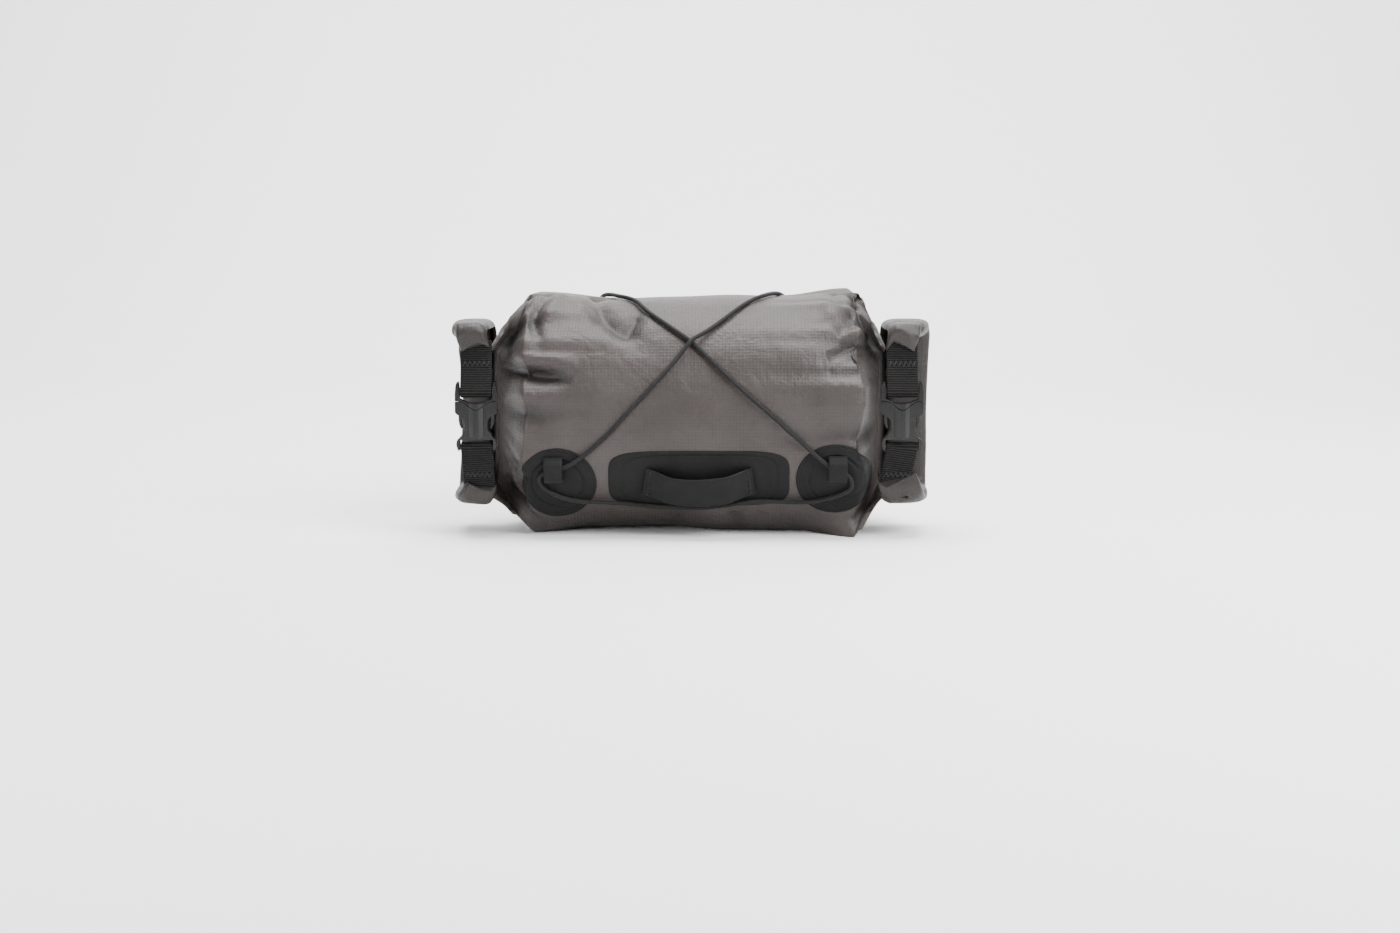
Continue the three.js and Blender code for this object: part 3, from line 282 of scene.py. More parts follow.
def broad_folds(x, angle):
    """Sum of bell-shaped valleys along short lines, which fade towards their ends, and of cosine gathers near each mouth;
    both fade where the section closes and under the bag."""
    reach = reach_at(x)
    face = np.where(np.cos(angle) > 0, 1, -1)
    up = signed_power(np.sin(angle), 2 / SQUARENESS)
    depth = np.zeros(np.broadcast(x, angle).shape)
    for side, x0, z0, x1, z1, width, deep in FOLDS:
        run_x, run_z = (x1 - x0) * reach, (z1 - z0) * AXIS_HEIGHT
        off_x, off_z = x - x0 * reach, (up - z0) * AXIS_HEIGHT
        near = np.clip((off_x * run_x + off_z * run_z) / (run_x ** 2 + run_z ** 2), 0, 1)
        miss = np.hypot(off_x - near * run_x, off_z - near * run_z) / (width * AXIS_HEIGHT)
        depth += (face == side) * deep * AXIS_HEIGHT * bump(miss) * (1 - FOLD_FADE * near ** 2)
    swell = (reach - np.abs(x)) / GATHER_REACH
    depth += GATHER_DEPTH * swell * np.exp(1 - swell) * np.cos(GATHER_COUNT * angle + np.sign(x))
    lying = ease((up + 1) * np.where(face < 0, BACK_LYING, FRONT_LYING))
    return depth * (1 - closing(x, angle)) ** 2 * lying


def stiffened(x, up):
    """0 under the bonded patches, where the cloth can't crease, and 1 a little way outside them: an eased step of the
    superellipse radius about each patch."""
    free = np.ones(np.broadcast(x, up).shape)
    for middle_x, middle_z, width, height, square in PATCHES:
        radius = np.abs((x - middle_x) / (width / 2)) ** square + np.abs((up - middle_z) / (height / 2)) ** square
        free = free * ease((radius ** (1 / square) - 0.98) * 5)
    return free


def fine_creases(x, angle, is_faded=True):
    """Sharper creases with a lip on one side, bent by a slow wave, and pleats that run out of the mouths: a valley is
    exp(-|miss|/width), a lip is a bell beside it, and a pleat is a cosine of the angle with a narrow trough. They fade
    as the section closes, unless they are only wanted for the shade in them."""
    face = np.where(np.cos(angle) > 0, 1, -1)
    up = signed_power(np.sin(angle), 2 / SQUARENESS) * AXIS_HEIGHT
    bent_x = x + 2.2 * np.sin(up / 9.0 + 0.7)
    bent_z = up + 2.0 * np.sin(x / 10.0)
    depth = np.zeros(np.broadcast(x, angle).shape)
    for side, x0, z0, x1, z1, width, deep, lip in CREASES:
        run_x, run_z = x1 - x0, z1 - z0
        length = math.hypot(run_x, run_z)
        t = ((bent_x - x0) * run_x + (bent_z - z0) * run_z) / length ** 2
        near = np.clip(t, 0, 1)
        away = ((bent_x - x0) * -run_z + (bent_z - z0) * run_x) / length
        beyond = np.abs(t - near) * length
        miss = np.hypot(away, beyond) / width
        fade = (1 - near ** 2) ** 0.5 * ease(near * 6 + 0.6)
        valley = deep * np.exp(-(miss ** 1.5))
        ridge = lip * bump((away - math.copysign(1.9 * width, lip)) / (1.1 * width)) * bump(beyond / width)
        depth += (face == side) * (valley - abs(ridge)) * fade
    from_mouth = (reach_at(x) - np.abs(x)) / PLEAT_REACH
    fan = from_mouth * np.exp(1 - from_mouth) * ease(from_mouth * 3)
    for count, deep, phase in PLEATS:
        wave = np.cos(count * angle + phase * np.sign(x) + 1.3 * np.sin(3 * angle))
        depth += deep * fan * signed_power(wave, 1.4)
    depth *= np.where(face > 0, stiffened(x, up), 1.0)
    lying = ease((up / AXIS_HEIGHT + 1) * np.where(face < 0, BACK_LYING, FRONT_LYING))
    return depth * lying * (1 - closing(x, angle)) ** (1.2 if is_faded else 0.3)


def slow_waves(x, angle):
    """Low swellings of stuffed cloth: a sum of slow sine waves across the surface."""
    z = AXIS_HEIGHT * np.sin(angle)
    waves = 0.55 * np.sin(x / 21 + z / 34 + 0.4) + 0.45 * np.sin(x / 13 - z / 19 + 2.0)
    waves += 0.30 * np.sin(x / 8.5 + z / 11 + 4.1) * np.sin(z / 17 + 1.0)
    up = np.sin(angle)
    return waves * ease((up + 1) * 4) * ease((reach_at(x) - np.abs(x)) / 20)


def cloth_point(x, angle, lift=0.0, is_creased=True):
    """The cloth's outer surface, or a place above it along the smooth body's normal."""
    x, angle = np.broadcast_arrays(np.asarray(x, float), np.asarray(angle, float))
    depth = broad_folds(x, angle) + slow_waves(x, angle)
    point = smooth_body(x, angle) + body_normal(x, angle) * (np.asarray(lift) - depth)[..., None]
    if is_creased:
        inward = unit(body_normal(x, angle, 8.0) * CREASE_TURN)
        point = point - inward * fine_creases(x, angle)[..., None]
    point[..., 2] = np.maximum(point[..., 2], np.minimum(lift, 0.0))
    return point


def angle_at(x, height, back=False):
    """The angle at which the front or back surface has a height above the axis: the arc sine of the height's share, to
    the power of half the squareness."""
    sag = BACK_SAG if back else AXIS_HEIGHT * section_at(x)[1]
    share = np.clip(height / np.where(height > 0, TOP_RISE, sag), -1, 1)
    angle = np.arcsin(signed_power(share, SQUARENESS / 2))
    return math.pi - angle if back else angle


def angle_seen(x, height):
    """The angle at which the closed-in front shows a height: the plain angle, corrected a few times by what is missing."""
    tried = height
    for _ in range(7):
        tried = tried + 0.7 * (height + AXIS_HEIGHT - smooth_body(x, angle_at(x, tried))[..., 2])
    return angle_at(x, tried)


def crumple(points, scale, seed):
    """Ridged folds of handled cloth: a sum of (1 - |sin|)^2 of slanted waves, in shares of 1."""
    source = np.random.default_rng(seed)
    total = np.zeros(points.shape[:-1])
    for octave in range(5):
        direction = unit(source.normal(size=3)) * (1.5 ** octave) / scale
        wave = points @ direction + source.uniform(0, 6.3)
        total += (1 - np.abs(np.sin(wave))) ** 2 / 1.6 ** octave
    return total / 2.4


# Mesh parts: a part is points, the vertices of its faces in one list, the size of each face, and a UV for each corner.

def run_lengths(points, axis):
    """Distance along an axis of a grid, from its start."""
    step = np.linalg.norm(np.diff(points, axis=axis), axis=-1)
    start = np.zeros_like(np.take(step, [0], axis=axis))
    return np.concatenate([start, np.cumsum(step, axis=axis)], axis=axis)


def grid_part(points, uv, wrap_rows=False, wrap_columns=False):
    """Quads between neighbours of a grid. UV has one row or column more where the grid wraps."""
    rows, columns = points.shape[:2]
    i = np.arange(rows if wrap_rows else rows - 1)[:, None]
    j = np.arange(columns if wrap_columns else columns - 1)[None, :]
    corners = [(i, j), (i, j + 1), (i + 1, j + 1), (i + 1, j)]
    faces = np.stack([(a % rows) * columns + b % columns for a, b in corners], -1)
    corner_uv = np.stack([uv[a, b] for a, b in corners], -2)
    return {
        "points": points.reshape(-1, 3),
        "loops": faces.reshape(-1),
        "sizes": np.full(faces.shape[0] * faces.shape[1], 4),
        "uv": corner_uv.reshape(-1, 2),
    }


def face_part(ring, uv):
    """One flat face over existing points."""
    return {"points": np.zeros((0, 3)), "loops": np.asarray(ring), "sizes": np.array([len(ring)]), "uv": np.asarray(uv)}


def add_faces(part, *others):
    """Faces of other parts over the first part's points."""
    return {
        "points": part["points"],
        "loops": np.concatenate([part["loops"], *[other["loops"] for other in others]]),
        "sizes": np.concatenate([part["sizes"], *[other["sizes"] for other in others]]),
        "uv": np.concatenate([part["uv"], *[other["uv"] for other in others]]),
    }


def joined(parts):
    """Several parts as one, each keeping its own points."""
    starts = np.cumsum([0] + [len(part["points"]) for part in parts[:-1]])
    return {
        "points": np.concatenate([part["points"] for part in parts]),
        "loops": np.concatenate([part["loops"] + start for part, start in zip(parts, starts)]),
        "sizes": np.concatenate([part["sizes"] for part in parts]),
        "uv": np.concatenate([part["uv"] for part in parts]),
    }


def swept(path, across, profile, is_loop=False):
    """A profile of (across, outward) pairs carried along a path: path + side * across + (tangent x side) * outward."""
    if is_loop:
        before, after = np.roll(path, 1, 0), np.roll(path, -1, 0)
    else:
        before, after = np.vstack([path[:1], path[:-1]]), np.vstack([path[1:], path[-1:]])
    tangent = unit(after - before)
    across = np.broadcast_to(across, path.shape)
    side = unit(across - (across * tangent).sum(-1, keepdims=True) * tangent)
    out = np.cross(tangent, side)
    shape = np.broadcast_to(profile, (len(path),) + np.shape(profile)[-2:])
    return path[:, None] + side[:, None] * shape[..., :1] + out[:, None] * shape[..., 1:]


def tube_part(points, is_loop=False):
    """A closed tube through rings of points, capped at its ends unless it is a loop. U runs along it and V round it, in
    millimetres."""
    rows, columns = points.shape[:2]
    closed = np.concatenate([points, points[:, :1]], 1)
    if is_loop:
        closed = np.concatenate([closed, closed[:1]], 0)
    along = run_lengths(closed.mean(1, keepdims=True), 0)
    around = run_lengths(closed[:1], 1)
    uv = np.stack(np.broadcast_arrays(along, around), -1)
    part = grid_part(points, uv, is_loop, True)
    if is_loop:
        return part
    flat = np.stack([around[0, :columns] * 0.0, around[0, :columns]], -1)
    first = np.arange(columns)[::-1]
    last = np.arange(columns) + (rows - 1) * columns
    return add_faces(part, face_part(first, flat[::-1]), face_part(last, flat + [along[-1, 0], 0.0]))


def band_profile(width, thickness, steps=6):
    """A flat band's section with rounded edges: half circles of the thickness at both sides, straight between."""
    turn = np.linspace(-TOP, TOP, steps)
    edge = np.stack([width / 2 - thickness / 2 + thickness / 2 * np.cos(turn), thickness / 2 * np.sin(turn)], -1)
    face = np.linspace(1, -1, 9)[1:-1, None] * [width / 2 - thickness / 2, 0]
    top = face + [0, thickness / 2]
    bottom = -face - [0, thickness / 2]
    return np.concatenate([edge, top, -edge, bottom])


def resampled(path, step, is_loop=False):
    """The same line with points at equal distances."""
    line = np.vstack([path, path[:1]]) if is_loop else path
    at = run_lengths(line, 0)
    count = max(2, int(round(at[-1] / step)))
    wanted = np.linspace(0, at[-1], count + 1)
    wanted = wanted[:-1] if is_loop else wanted
    return np.stack([np.interp(wanted, at, line[:, axis]) for axis in range(line.shape[1])], -1)


def softened(path, rounds):
    """The line with its corners rounded: each point moved towards the middle of its neighbours, a few times."""
    for _ in range(rounds):
        path = np.vstack([path[:1], (path[:-2] + 2 * path[1:-1] + path[2:]) / 4, path[-1:]])
    return path


def closed_spline(knots, samples):
    """Centripetal Catmull-Rom curve through a closed ring of points: between two knots, the cubic whose end slopes come
    from the neighbours' distances raised to one half."""
    p0, p1, p2, p3 = (np.roll(knots, shift, 0)[:, None] for shift in (1, 0, -1, -2))
    d0, d1, d2 = (np.linalg.norm(b - a, axis=-1, keepdims=True) ** 0.5 for a, b in ((p0, p1), (p1, p2), (p2, p3)))
    slope1 = ((p1 - p0) / d0 - (p2 - p0) / (d0 + d1) + (p2 - p1) / d1) * d1
    slope2 = ((p2 - p1) / d1 - (p3 - p1) / (d1 + d2) + (p3 - p2) / d2) * d1
    t = (np.arange(samples) / samples)[None, :, None]
    cubic = (2 * t ** 3 - 3 * t ** 2 + 1) * p1 + (t ** 3 - 2 * t ** 2 + t) * slope1
    cubic = cubic + (-2 * t ** 3 + 3 * t ** 2) * p2 + (t ** 3 - t ** 2) * slope2
    return cubic.reshape(-1, knots.shape[1])


def stitch_part(starts, ends, lifts, radius):
    """Short threads: for each pair of points a six-sided capsule, humped outwards at its middle."""
    t = np.array([0.0, 0.12, 0.5, 0.88, 1.0])
    girth = np.array([0.35, 1.0, 1.0, 1.0, 0.35])
    line = starts[:, None] + (ends - starts)[:, None] * t[:, None]
    line = line + unit(lifts)[:, None] * (radius * np.array([-0.8, 0.4, 0.9, 0.4, -0.8]))[:, None]
    tangent = unit(ends - starts)
    side = unit(np.cross(tangent, lifts))
    up = np.cross(side, tangent)
    turn = np.arange(6) / 6 * 2 * math.pi
    ring = side[:, None] * np.cos(turn)[:, None] + up[:, None] * np.sin(turn)[:, None]
    points = line[:, :, None] + ring[:, None] * (radius * girth)[:, None, None]
    single = tube_part(points[0])
    count = points.shape[0]
    offsets = np.repeat(np.arange(count) * 30, len(single["loops"]))
    return {
        "points": points.reshape(-1, 3),
        "loops": np.tile(single["loops"], count) + offsets,
        "sizes": np.tile(single["sizes"], count),
        "uv": np.tile(single["uv"], (count, 1)),
    }


def part_volume(part):
    """Signed volume: the sum over fan triangles of a . (b x c) / 6."""
    starts = np.concatenate([[0], np.cumsum(part["sizes"])[:-1]])
    corner = np.arange(len(part["loops"]))
    start = np.repeat(starts, part["sizes"])
    fan = corner - start >= 2
    points = part["points"]
    a = points[part["loops"][start[fan]]]
    b = points[part["loops"][corner[fan] - 1]]
    c = points[part["loops"][corner[fan]]]
    return (a * np.cross(b, c)).sum() / 6


def add_piece(name, part, material, replaces=(), sharp=40.0, attributes=None):
    """Puts a part into the scene as one mesh, turned outwards, riding on the bag."""
    mesh = bpy.data.meshes.new(name)
    mesh.vertices.add(len(part["points"]))
    mesh.vertices.foreach_set("co", (part["points"] / 1000).astype(np.float32).ravel())
    mesh.loops.add(len(part["loops"]))
    mesh.loops.foreach_set("vertex_index", part["loops"].astype(np.int32))
    mesh.polygons.add(len(part["sizes"]))
    starts = np.concatenate([[0], np.cumsum(part["sizes"])[:-1]])
    mesh.polygons.foreach_set("loop_start", starts.astype(np.int32))
    mesh.polygons.foreach_set("use_smooth", np.ones(len(starts), bool))
    mesh.update(calc_edges=True)
    layer = mesh.uv_layers.new(name="cloth_mm")
    layer.data.foreach_set("uv", part["uv"].astype(np.float32).ravel())
    for key, values in (attributes or {}).items():
        mesh.attributes.new(key, "FLOAT", "POINT").data.foreach_set("value", values.astype(np.float32).ravel())
    if mesh.validate():
        raise RuntimeError(f"{name}: the mesh had to be repaired")
    if part_volume(part) < 0:
        mesh.flip_normals()
    mesh.set_sharp_from_angle(angle=math.radians(sharp))
    mesh.materials.append(material)
    piece = bpy.data.objects.new(name, mesh)
    bpy.context.scene.collection.objects.link(piece)
    if replaces:
        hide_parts(*replaces)
    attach(piece, "root")
    return piece


# Materials

PALE_DUST = (0.14, 0.13, 0.12, 1.0)
DARK_DUST = (0.020, 0.0185, 0.017, 1.0)
WORN_PLASTIC = (0.008, 0.008, 0.009, 1.0)


def add_node(tree, kind, inputs=None, **settings):
    """A node with its settings; inputs are plain values or the outputs of other nodes."""
    made = tree.nodes.new(kind)
    for key, value in settings.items():
        setattr(made, key, value)
    for key, value in (inputs or {}).items():
        if isinstance(value, bpy.types.NodeSocket):
            tree.links.new(value, made.inputs[key])
        else:
            made.inputs[key].default_value = value
    return made


def math_node(tree, operation, first, second=0.0):
    """The output of one Math node."""
    return add_node(tree, "ShaderNodeMath", {0: first, 1: second}, operation=operation).outputs[0]


def mix_color(tree, factor, first, second, blend="MIX"):
    """The colour output of one Mix node."""
    made = add_node(tree, "ShaderNodeMix", {"Factor": factor}, data_type="RGBA", blend_type=blend)
    for socket, value in ((made.inputs[6], first), (made.inputs[7], second)):
        if isinstance(value, bpy.types.NodeSocket):
            tree.links.new(value, socket)
        else:
            socket.default_value = value
    return made.outputs[2]


def remapped(tree, value, low, high, to_low=0.0, to_high=1.0):
    """A value moved from one range to another and held inside it."""
    sockets = {"Value": value, "From Min": low, "From Max": high, "To Min": to_low, "To Max": to_high}
    return add_node(tree, "ShaderNodeMapRange", sockets, clamp=True).outputs[0]


def new_group(name, inputs, outputs):
    """An empty node group with named sockets: (name, kind, default) for each input and (name, kind) for each output."""
    tree = bpy.data.node_groups.new(name, "ShaderNodeTree")
    for label, kind, default in inputs:
        socket = tree.interface.new_socket(name=label, in_out="INPUT", socket_type=kind)
        if default is not None:
            socket.default_value = default
    for label, kind in outputs:
        tree.interface.new_socket(name=label, in_out="OUTPUT", socket_type=kind)
    return tree, tree.nodes.new("NodeGroupInput").outputs, tree.nodes.new("NodeGroupOutput").inputs


def stripe(tree, coordinate, pitch, width):
    """1 on lines that repeat at a pitch and 0 between them, with soft sides; width is a share of the pitch."""
    place = math_node(tree, "FRACT", math_node(tree, "DIVIDE", coordinate, pitch))
    off = math_node(tree, "ABSOLUTE", math_node(tree, "SUBTRACT", place, 0.5))
    near = math_node(tree, "DIVIDE", off, width)
    return remapped(tree, near, 0.6, 1.4, 1.0, 0.0)


def ripstop_group():
    """Two sets of thicker threads in a fine weave, from the piece's UV in millimetres."""
    sockets = [("Pitch", "NodeSocketFloat", 2.2), ("Line", "NodeSocketFloat", 0.12), ("Slub", "NodeSocketFloat", 0.5)]
    outputs = [("Threads", "NodeSocketFloat"), ("Height", "NodeSocketFloat")]
    tree, given, result = new_group("ripstop threads", sockets, outputs)
    uv = add_node(tree, "ShaderNodeUVMap", uv_map="cloth_mm").outputs[0]
    wobble = add_node(tree, "ShaderNodeTexNoise", {"Vector": uv, "Scale": 0.35, "Detail": 1.0}).outputs["Color"]
    shifted = add_node(tree, "ShaderNodeVectorMath", {0: wobble, 1: (0.5, 0.5, 0.5)}, operation="SUBTRACT").outputs[0]
    shifted = add_node(tree, "ShaderNodeVectorMath", {0: shifted, "Scale": 0.35}, operation="SCALE").outputs[0]
    moved = add_node(tree, "ShaderNodeVectorMath", {0: uv, 1: shifted}, operation="ADD").outputs[0]
    axes = add_node(tree, "ShaderNodeSeparateXYZ", {0: moved}).outputs
    lines = [stripe(tree, axes[axis], given["Pitch"], given["Line"]) for axis in (0, 1)]
    patchy = add_node(tree, "ShaderNodeTexNoise", {"Vector": uv, "Scale": 0.6, "Detail": 2.0}).outputs["Fac"]
    patchy = remapped(tree, patchy, 0.3, 0.7, math_node(tree, "SUBTRACT", 1.0, given["Slub"]), 1.0)
    threads = math_node(tree, "MULTIPLY", math_node(tree, "MAXIMUM", lines[0], lines[1]), patchy)
    fine = add_node(tree, "ShaderNodeTexNoise", {"Vector": uv, "Scale": 2.4, "Detail": 2.0}).outputs["Fac"]
    tree.links.new(threads, result["Threads"])
    tree.links.new(math_node(tree, "ADD", threads, math_node(tree, "MULTIPLY", fine, 0.6)), result["Height"])
    return tree


def ribs_group():
    """Cross ribs of woven webbing with a broken edge to each rib, from the piece's UV in millimetres."""
    sockets = [("Pitch", "NodeSocketFloat", 1.5), ("Cross Pitch", "NodeSocketFloat", 0.9)]
    outputs = [("Ribs", "NodeSocketFloat"), ("Height", "NodeSocketFloat")]
    tree, given, result = new_group("webbing ribs", sockets, outputs)
    uv = add_node(tree, "ShaderNodeUVMap", uv_map="cloth_mm").outputs[0]
    axes = add_node(tree, "ShaderNodeSeparateXYZ", {0: uv}).outputs
    turns = math_node(tree, "DIVIDE", axes[0], given["Pitch"])
    wave = math_node(tree, "SINE", math_node(tree, "MULTIPLY", turns, 2 * math.pi))
    ribs = math_node(tree, "MULTIPLY_ADD", wave, 0.5)
    tree.nodes[-1].inputs[2].default_value = 0.5
    cross_turns = math_node(tree, "DIVIDE", axes[1], given["Cross Pitch"])
    cross = math_node(tree, "SINE", math_node(tree, "MULTIPLY", cross_turns, 2 * math.pi))
    height = math_node(tree, "ADD", ribs, math_node(tree, "MULTIPLY", cross, 0.18))
    tree.links.new(ribs, result["Ribs"])
    tree.links.new(height, result["Height"])
    return tree


def braid_group():
    """Two sets of slanted yarns crossing round a cord, from the piece's UV in millimetres."""
    sockets = [("Pitch", "NodeSocketFloat", 1.5)]
    tree, given, result = new_group("braid", sockets, [("Yarns", "NodeSocketFloat"), ("Height", "NodeSocketFloat")])
    uv = add_node(tree, "ShaderNodeUVMap", uv_map="cloth_mm").outputs[0]
    axes = add_node(tree, "ShaderNodeSeparateXYZ", {0: uv}).outputs
    waves = []
    for operation in ("ADD", "SUBTRACT"):
        slant = math_node(tree, operation, axes[0], axes[1])
        turns = math_node(tree, "MULTIPLY", math_node(tree, "DIVIDE", slant, given["Pitch"]), 2 * math.pi)
        waves.append(math_node(tree, "ABSOLUTE", math_node(tree, "SINE", turns)))
    yarns = math_node(tree, "MAXIMUM", waves[0], waves[1])
    tree.links.new(yarns, result["Yarns"])
    tree.links.new(yarns, result["Height"])
    return tree


def dust_group():
    """A thin uneven film of dust and handling marks over a colour, from Object coordinates."""
    sockets = [
        ("Color", "NodeSocketColor", (0.2, 0.2, 0.2, 1)), ("Dust", "NodeSocketColor", (0.45, 0.42, 0.38, 1)),
        ("Amount", "NodeSocketFloat", 0.2), ("Scale", "NodeSocketFloat", 30.0),
    ]
    tree, given, result = new_group("dust film", sockets, [("Color", "NodeSocketColor"), ("Mask", "NodeSocketFloat")])
    place = add_node(tree, "ShaderNodeTexCoord").outputs["Object"]
    clouds = {"Vector": place, "Scale": given["Scale"], "Detail": 5.0, "Roughness": 0.62}
    cloud = add_node(tree, "ShaderNodeTexNoise", clouds)
    speck = add_node(tree, "ShaderNodeTexNoise", {"Vector": place, "Scale": 900.0, "Detail": 2.0})
    mask = remapped(tree, cloud.outputs["Fac"], 0.42, 0.72)
    fleck = remapped(tree, speck.outputs["Fac"], 0.60, 0.72, 0.0, 0.7)
    both = math_node(tree, "MULTIPLY", math_node(tree, "ADD", mask, fleck), given["Amount"])
    tree.links.new(mix_color(tree, both, given["Color"], given["Dust"]), result["Color"])
    tree.links.new(both, result["Mask"])
    return tree


def grain_group():
    """Fine grain of moulded or coated surfaces with faint scuffs, from Object coordinates."""
    sockets = [("Grain Scale", "NodeSocketFloat", 1400.0), ("Scuff Scale", "NodeSocketFloat", 120.0)]
    outputs = [("Height", "NodeSocketFloat"), ("Scuffs", "NodeSocketFloat")]
    tree, given, result = new_group("moulded grain", sockets, outputs)
    place = add_node(tree, "ShaderNodeTexCoord").outputs["Object"]
    grains = {"Vector": place, "Scale": given["Grain Scale"], "Detail": 2.0}
    grain = add_node(tree, "ShaderNodeTexNoise", grains).outputs["Fac"]
    stretched = add_node(tree, "ShaderNodeMapping", {"Vector": place, "Scale": (1.0, 1.0, 0.22)}).outputs[0]
    marks = {"Vector": stretched, "Scale": given["Scuff Scale"], "Detail": 6.0, "Roughness": 0.7}
    scuffs = add_node(tree, "ShaderNodeTexNoise", marks)
    tree.links.new(grain, result["Height"])
    tree.links.new(remapped(tree, scuffs.outputs["Fac"], 0.5, 0.75), result["Scuffs"])
    return tree


def crease_group():
    """Soft crumples of coated cloth, from Object coordinates: ridged noise at two sizes."""
    sockets = [("Scale", "NodeSocketFloat", 60.0)]
    tree, given, result = new_group("soft crumples", sockets, [("Height", "NodeSocketFloat")])
    place = add_node(tree, "ShaderNodeTexCoord").outputs["Object"]
    heights = []
    for share in (1.0, 2.7):
        scale = math_node(tree, "MULTIPLY", given["Scale"], share)
        folds = {"Vector": place, "Scale": scale, "Detail": 2.0, "Distortion": 0.8}
        noise = add_node(tree, "ShaderNodeTexNoise", folds).outputs["Fac"]
        ridge = math_node(tree, "ABSOLUTE", math_node(tree, "SUBTRACT", noise, 0.5))
        heights.append(math_node(tree, "MULTIPLY", ridge, 1.0 / share))
    tree.links.new(math_node(tree, "ADD", heights[0], heights[1]), result["Height"])
    return tree


def group_in(tree, name, build, inputs=None):
    """A shared group placed in a material, built the first time it is asked for."""
    made = add_node(tree, "ShaderNodeGroup", node_tree=bpy.data.node_groups.get(name) or build())
    for key, value in (inputs or {}).items():
        if isinstance(value, bpy.types.NodeSocket):
            tree.links.new(value, made.inputs[key])
        else:
            made.inputs[key].default_value = value
    return made.outputs


def new_material(name, **constants):
    """A material with one Principled shader, its constants set on its own sockets."""
    material = bpy.data.materials.get(name)
    if material:
        return material, None, None
    material = bpy.data.materials.new(name)
    material.use_nodes = True
    shader = material.node_tree.nodes["Principled BSDF"]
    for key, value in constants.items():
        shader.inputs[key.replace("_", " ")].default_value = value
    return material, material.node_tree, shader


def bumped(tree, shader, layers):
    """Feeds the shader's normal from a chain of Bump nodes: (height, strength, distance) for each."""
    normal = None
    for height, strength, distance in layers:
        inputs = {"Height": height, "Strength": strength, "Distance": distance}
        if normal is not None:
            inputs["Normal"] = normal
        normal = add_node(tree, "ShaderNodeBump", inputs).outputs[0]
    tree.links.new(normal, shader.inputs["Normal"])


def cloth_material(settings, name="coated ripstop", painted_shade_share=(1.0, 1.0, 1.0)):
    """Coated ripstop: taupe with a fine grid, painted shade in its folds, with a soft sheen and faint dust."""
    material, tree, shader = new_material(name, **{"Specular IOR Level": 0.32, "Sheen Weight": 0.02})
    if tree is None:
        return material
    # A share below 1 paints shade over the whole piece's colour.
    color = [channel * share for channel, share in zip(settings.color, painted_shade_share)]
    weave = group_in(tree, "ripstop threads", ripstop_group, {"Pitch": settings.grid_pitch * 1000})
    place = add_node(tree, "ShaderNodeTexCoord").outputs["Object"]
    broad = add_node(tree, "ShaderNodeTexNoise", {"Vector": place, "Scale": 14.0, "Detail": 3.0}).outputs["Fac"]
    shade = mix_color(tree, remapped(tree, broad, 0.35, 0.7), opaque(color, 0.90), opaque(color, 1.08))
    lined = mix_color(tree, math_node(tree, "MULTIPLY", weave["Threads"], 0.36), shade, opaque(color, 0.55))
    # Painted shade: the colour darkens towards 0.22 of itself where the fold depth stored in 'valley' is great.
    valley = add_node(tree, "ShaderNodeAttribute", attribute_name="valley").outputs["Fac"]
    deep = mix_color(tree, remapped(tree, valley, 0.8, 5.0, 0.0, 0.88), lined, opaque(color, 0.22))
    dust = group_in(tree, "dust film", dust_group, {"Color": deep, "Dust": PALE_DUST, "Amount": 0.07, "Scale": 26.0})
    tree.links.new(dust["Color"], shader.inputs["Base Color"])
    rough = remapped(tree, broad, 0.3, 0.75, 0.42, 0.54)
    rough = math_node(tree, "ADD", rough, math_node(tree, "MULTIPLY", weave["Threads"], 0.06))
    tree.links.new(rough, shader.inputs["Roughness"])
    soft = group_in(tree, "soft crumples", crease_group, {"Scale": 46.0})
    bumped(tree, shader, [(soft["Height"], 0.35, 0.004), (weave["Height"], 0.30, 0.0004)])
    return material


def opaque(color, share=1.0):
    """A colour times a share, with full alpha."""
    return (*[channel * share for channel in color], 1)


def webbing_material(settings):
    """Black woven webbing: cross ribs that catch the light, with a painted highlight on their tops and painted shade
    between them, faint wear and dust.
    """
    material, tree, shader = new_material("woven webbing", **{"Specular IOR Level": 0.10, "Sheen Weight": 0.02})
    if tree is None:
        return material
    ribs = group_in(tree, "webbing ribs", ribs_group, {"Pitch": settings.rib_pitch * 1000})
    # Painted highlight and shade: rib tops are coloured lighter and the hollows between them darker.
    light = [min(1.0, channel * 2.6 + 0.006) for channel in settings.color]
    color = mix_color(tree, remapped(tree, ribs["Ribs"], 0.35, 0.95), opaque(settings.color, 0.7), opaque(light))
    dust = group_in(tree, "dust film", dust_group, {"Color": color, "Dust": DARK_DUST, "Amount": 0.10, "Scale": 60.0})
    tree.links.new(dust["Color"], shader.inputs["Base Color"])
    tree.links.new(remapped(tree, ribs["Ribs"], 0.0, 1.0, 0.86, 0.62), shader.inputs["Roughness"])
    bumped(tree, shader, [(ribs["Height"], 0.85, 0.0005)])
    return material


def thread_material(settings):
    """Sewing thread: twisted, slightly glossy, a little lighter than the webbing, with a painted highlight on its
    yarns' crests.
    """
    material, tree, shader = new_material("sewing thread", **{"Specular IOR Level": 0.2, "Sheen Weight": 0.05})
    if tree is None:
        return material
    braid = group_in(tree, "braid", braid_group, {"Pitch": 0.8})
    # Painted highlight: the yarns' crests are coloured lighter than the grooves between them.
    light = [channel * 1.8 + 0.004 for channel in settings.color]
    color = mix_color(tree, braid["Yarns"], opaque(settings.color), opaque(light))
    tree.links.new(color, shader.inputs["Base Color"])
    tree.links.new(remapped(tree, braid["Yarns"], 0.0, 1.0, 0.7, 0.42), shader.inputs["Roughness"])
    bumped(tree, shader, [(braid["Height"], 0.5, 0.0002)])
    return material


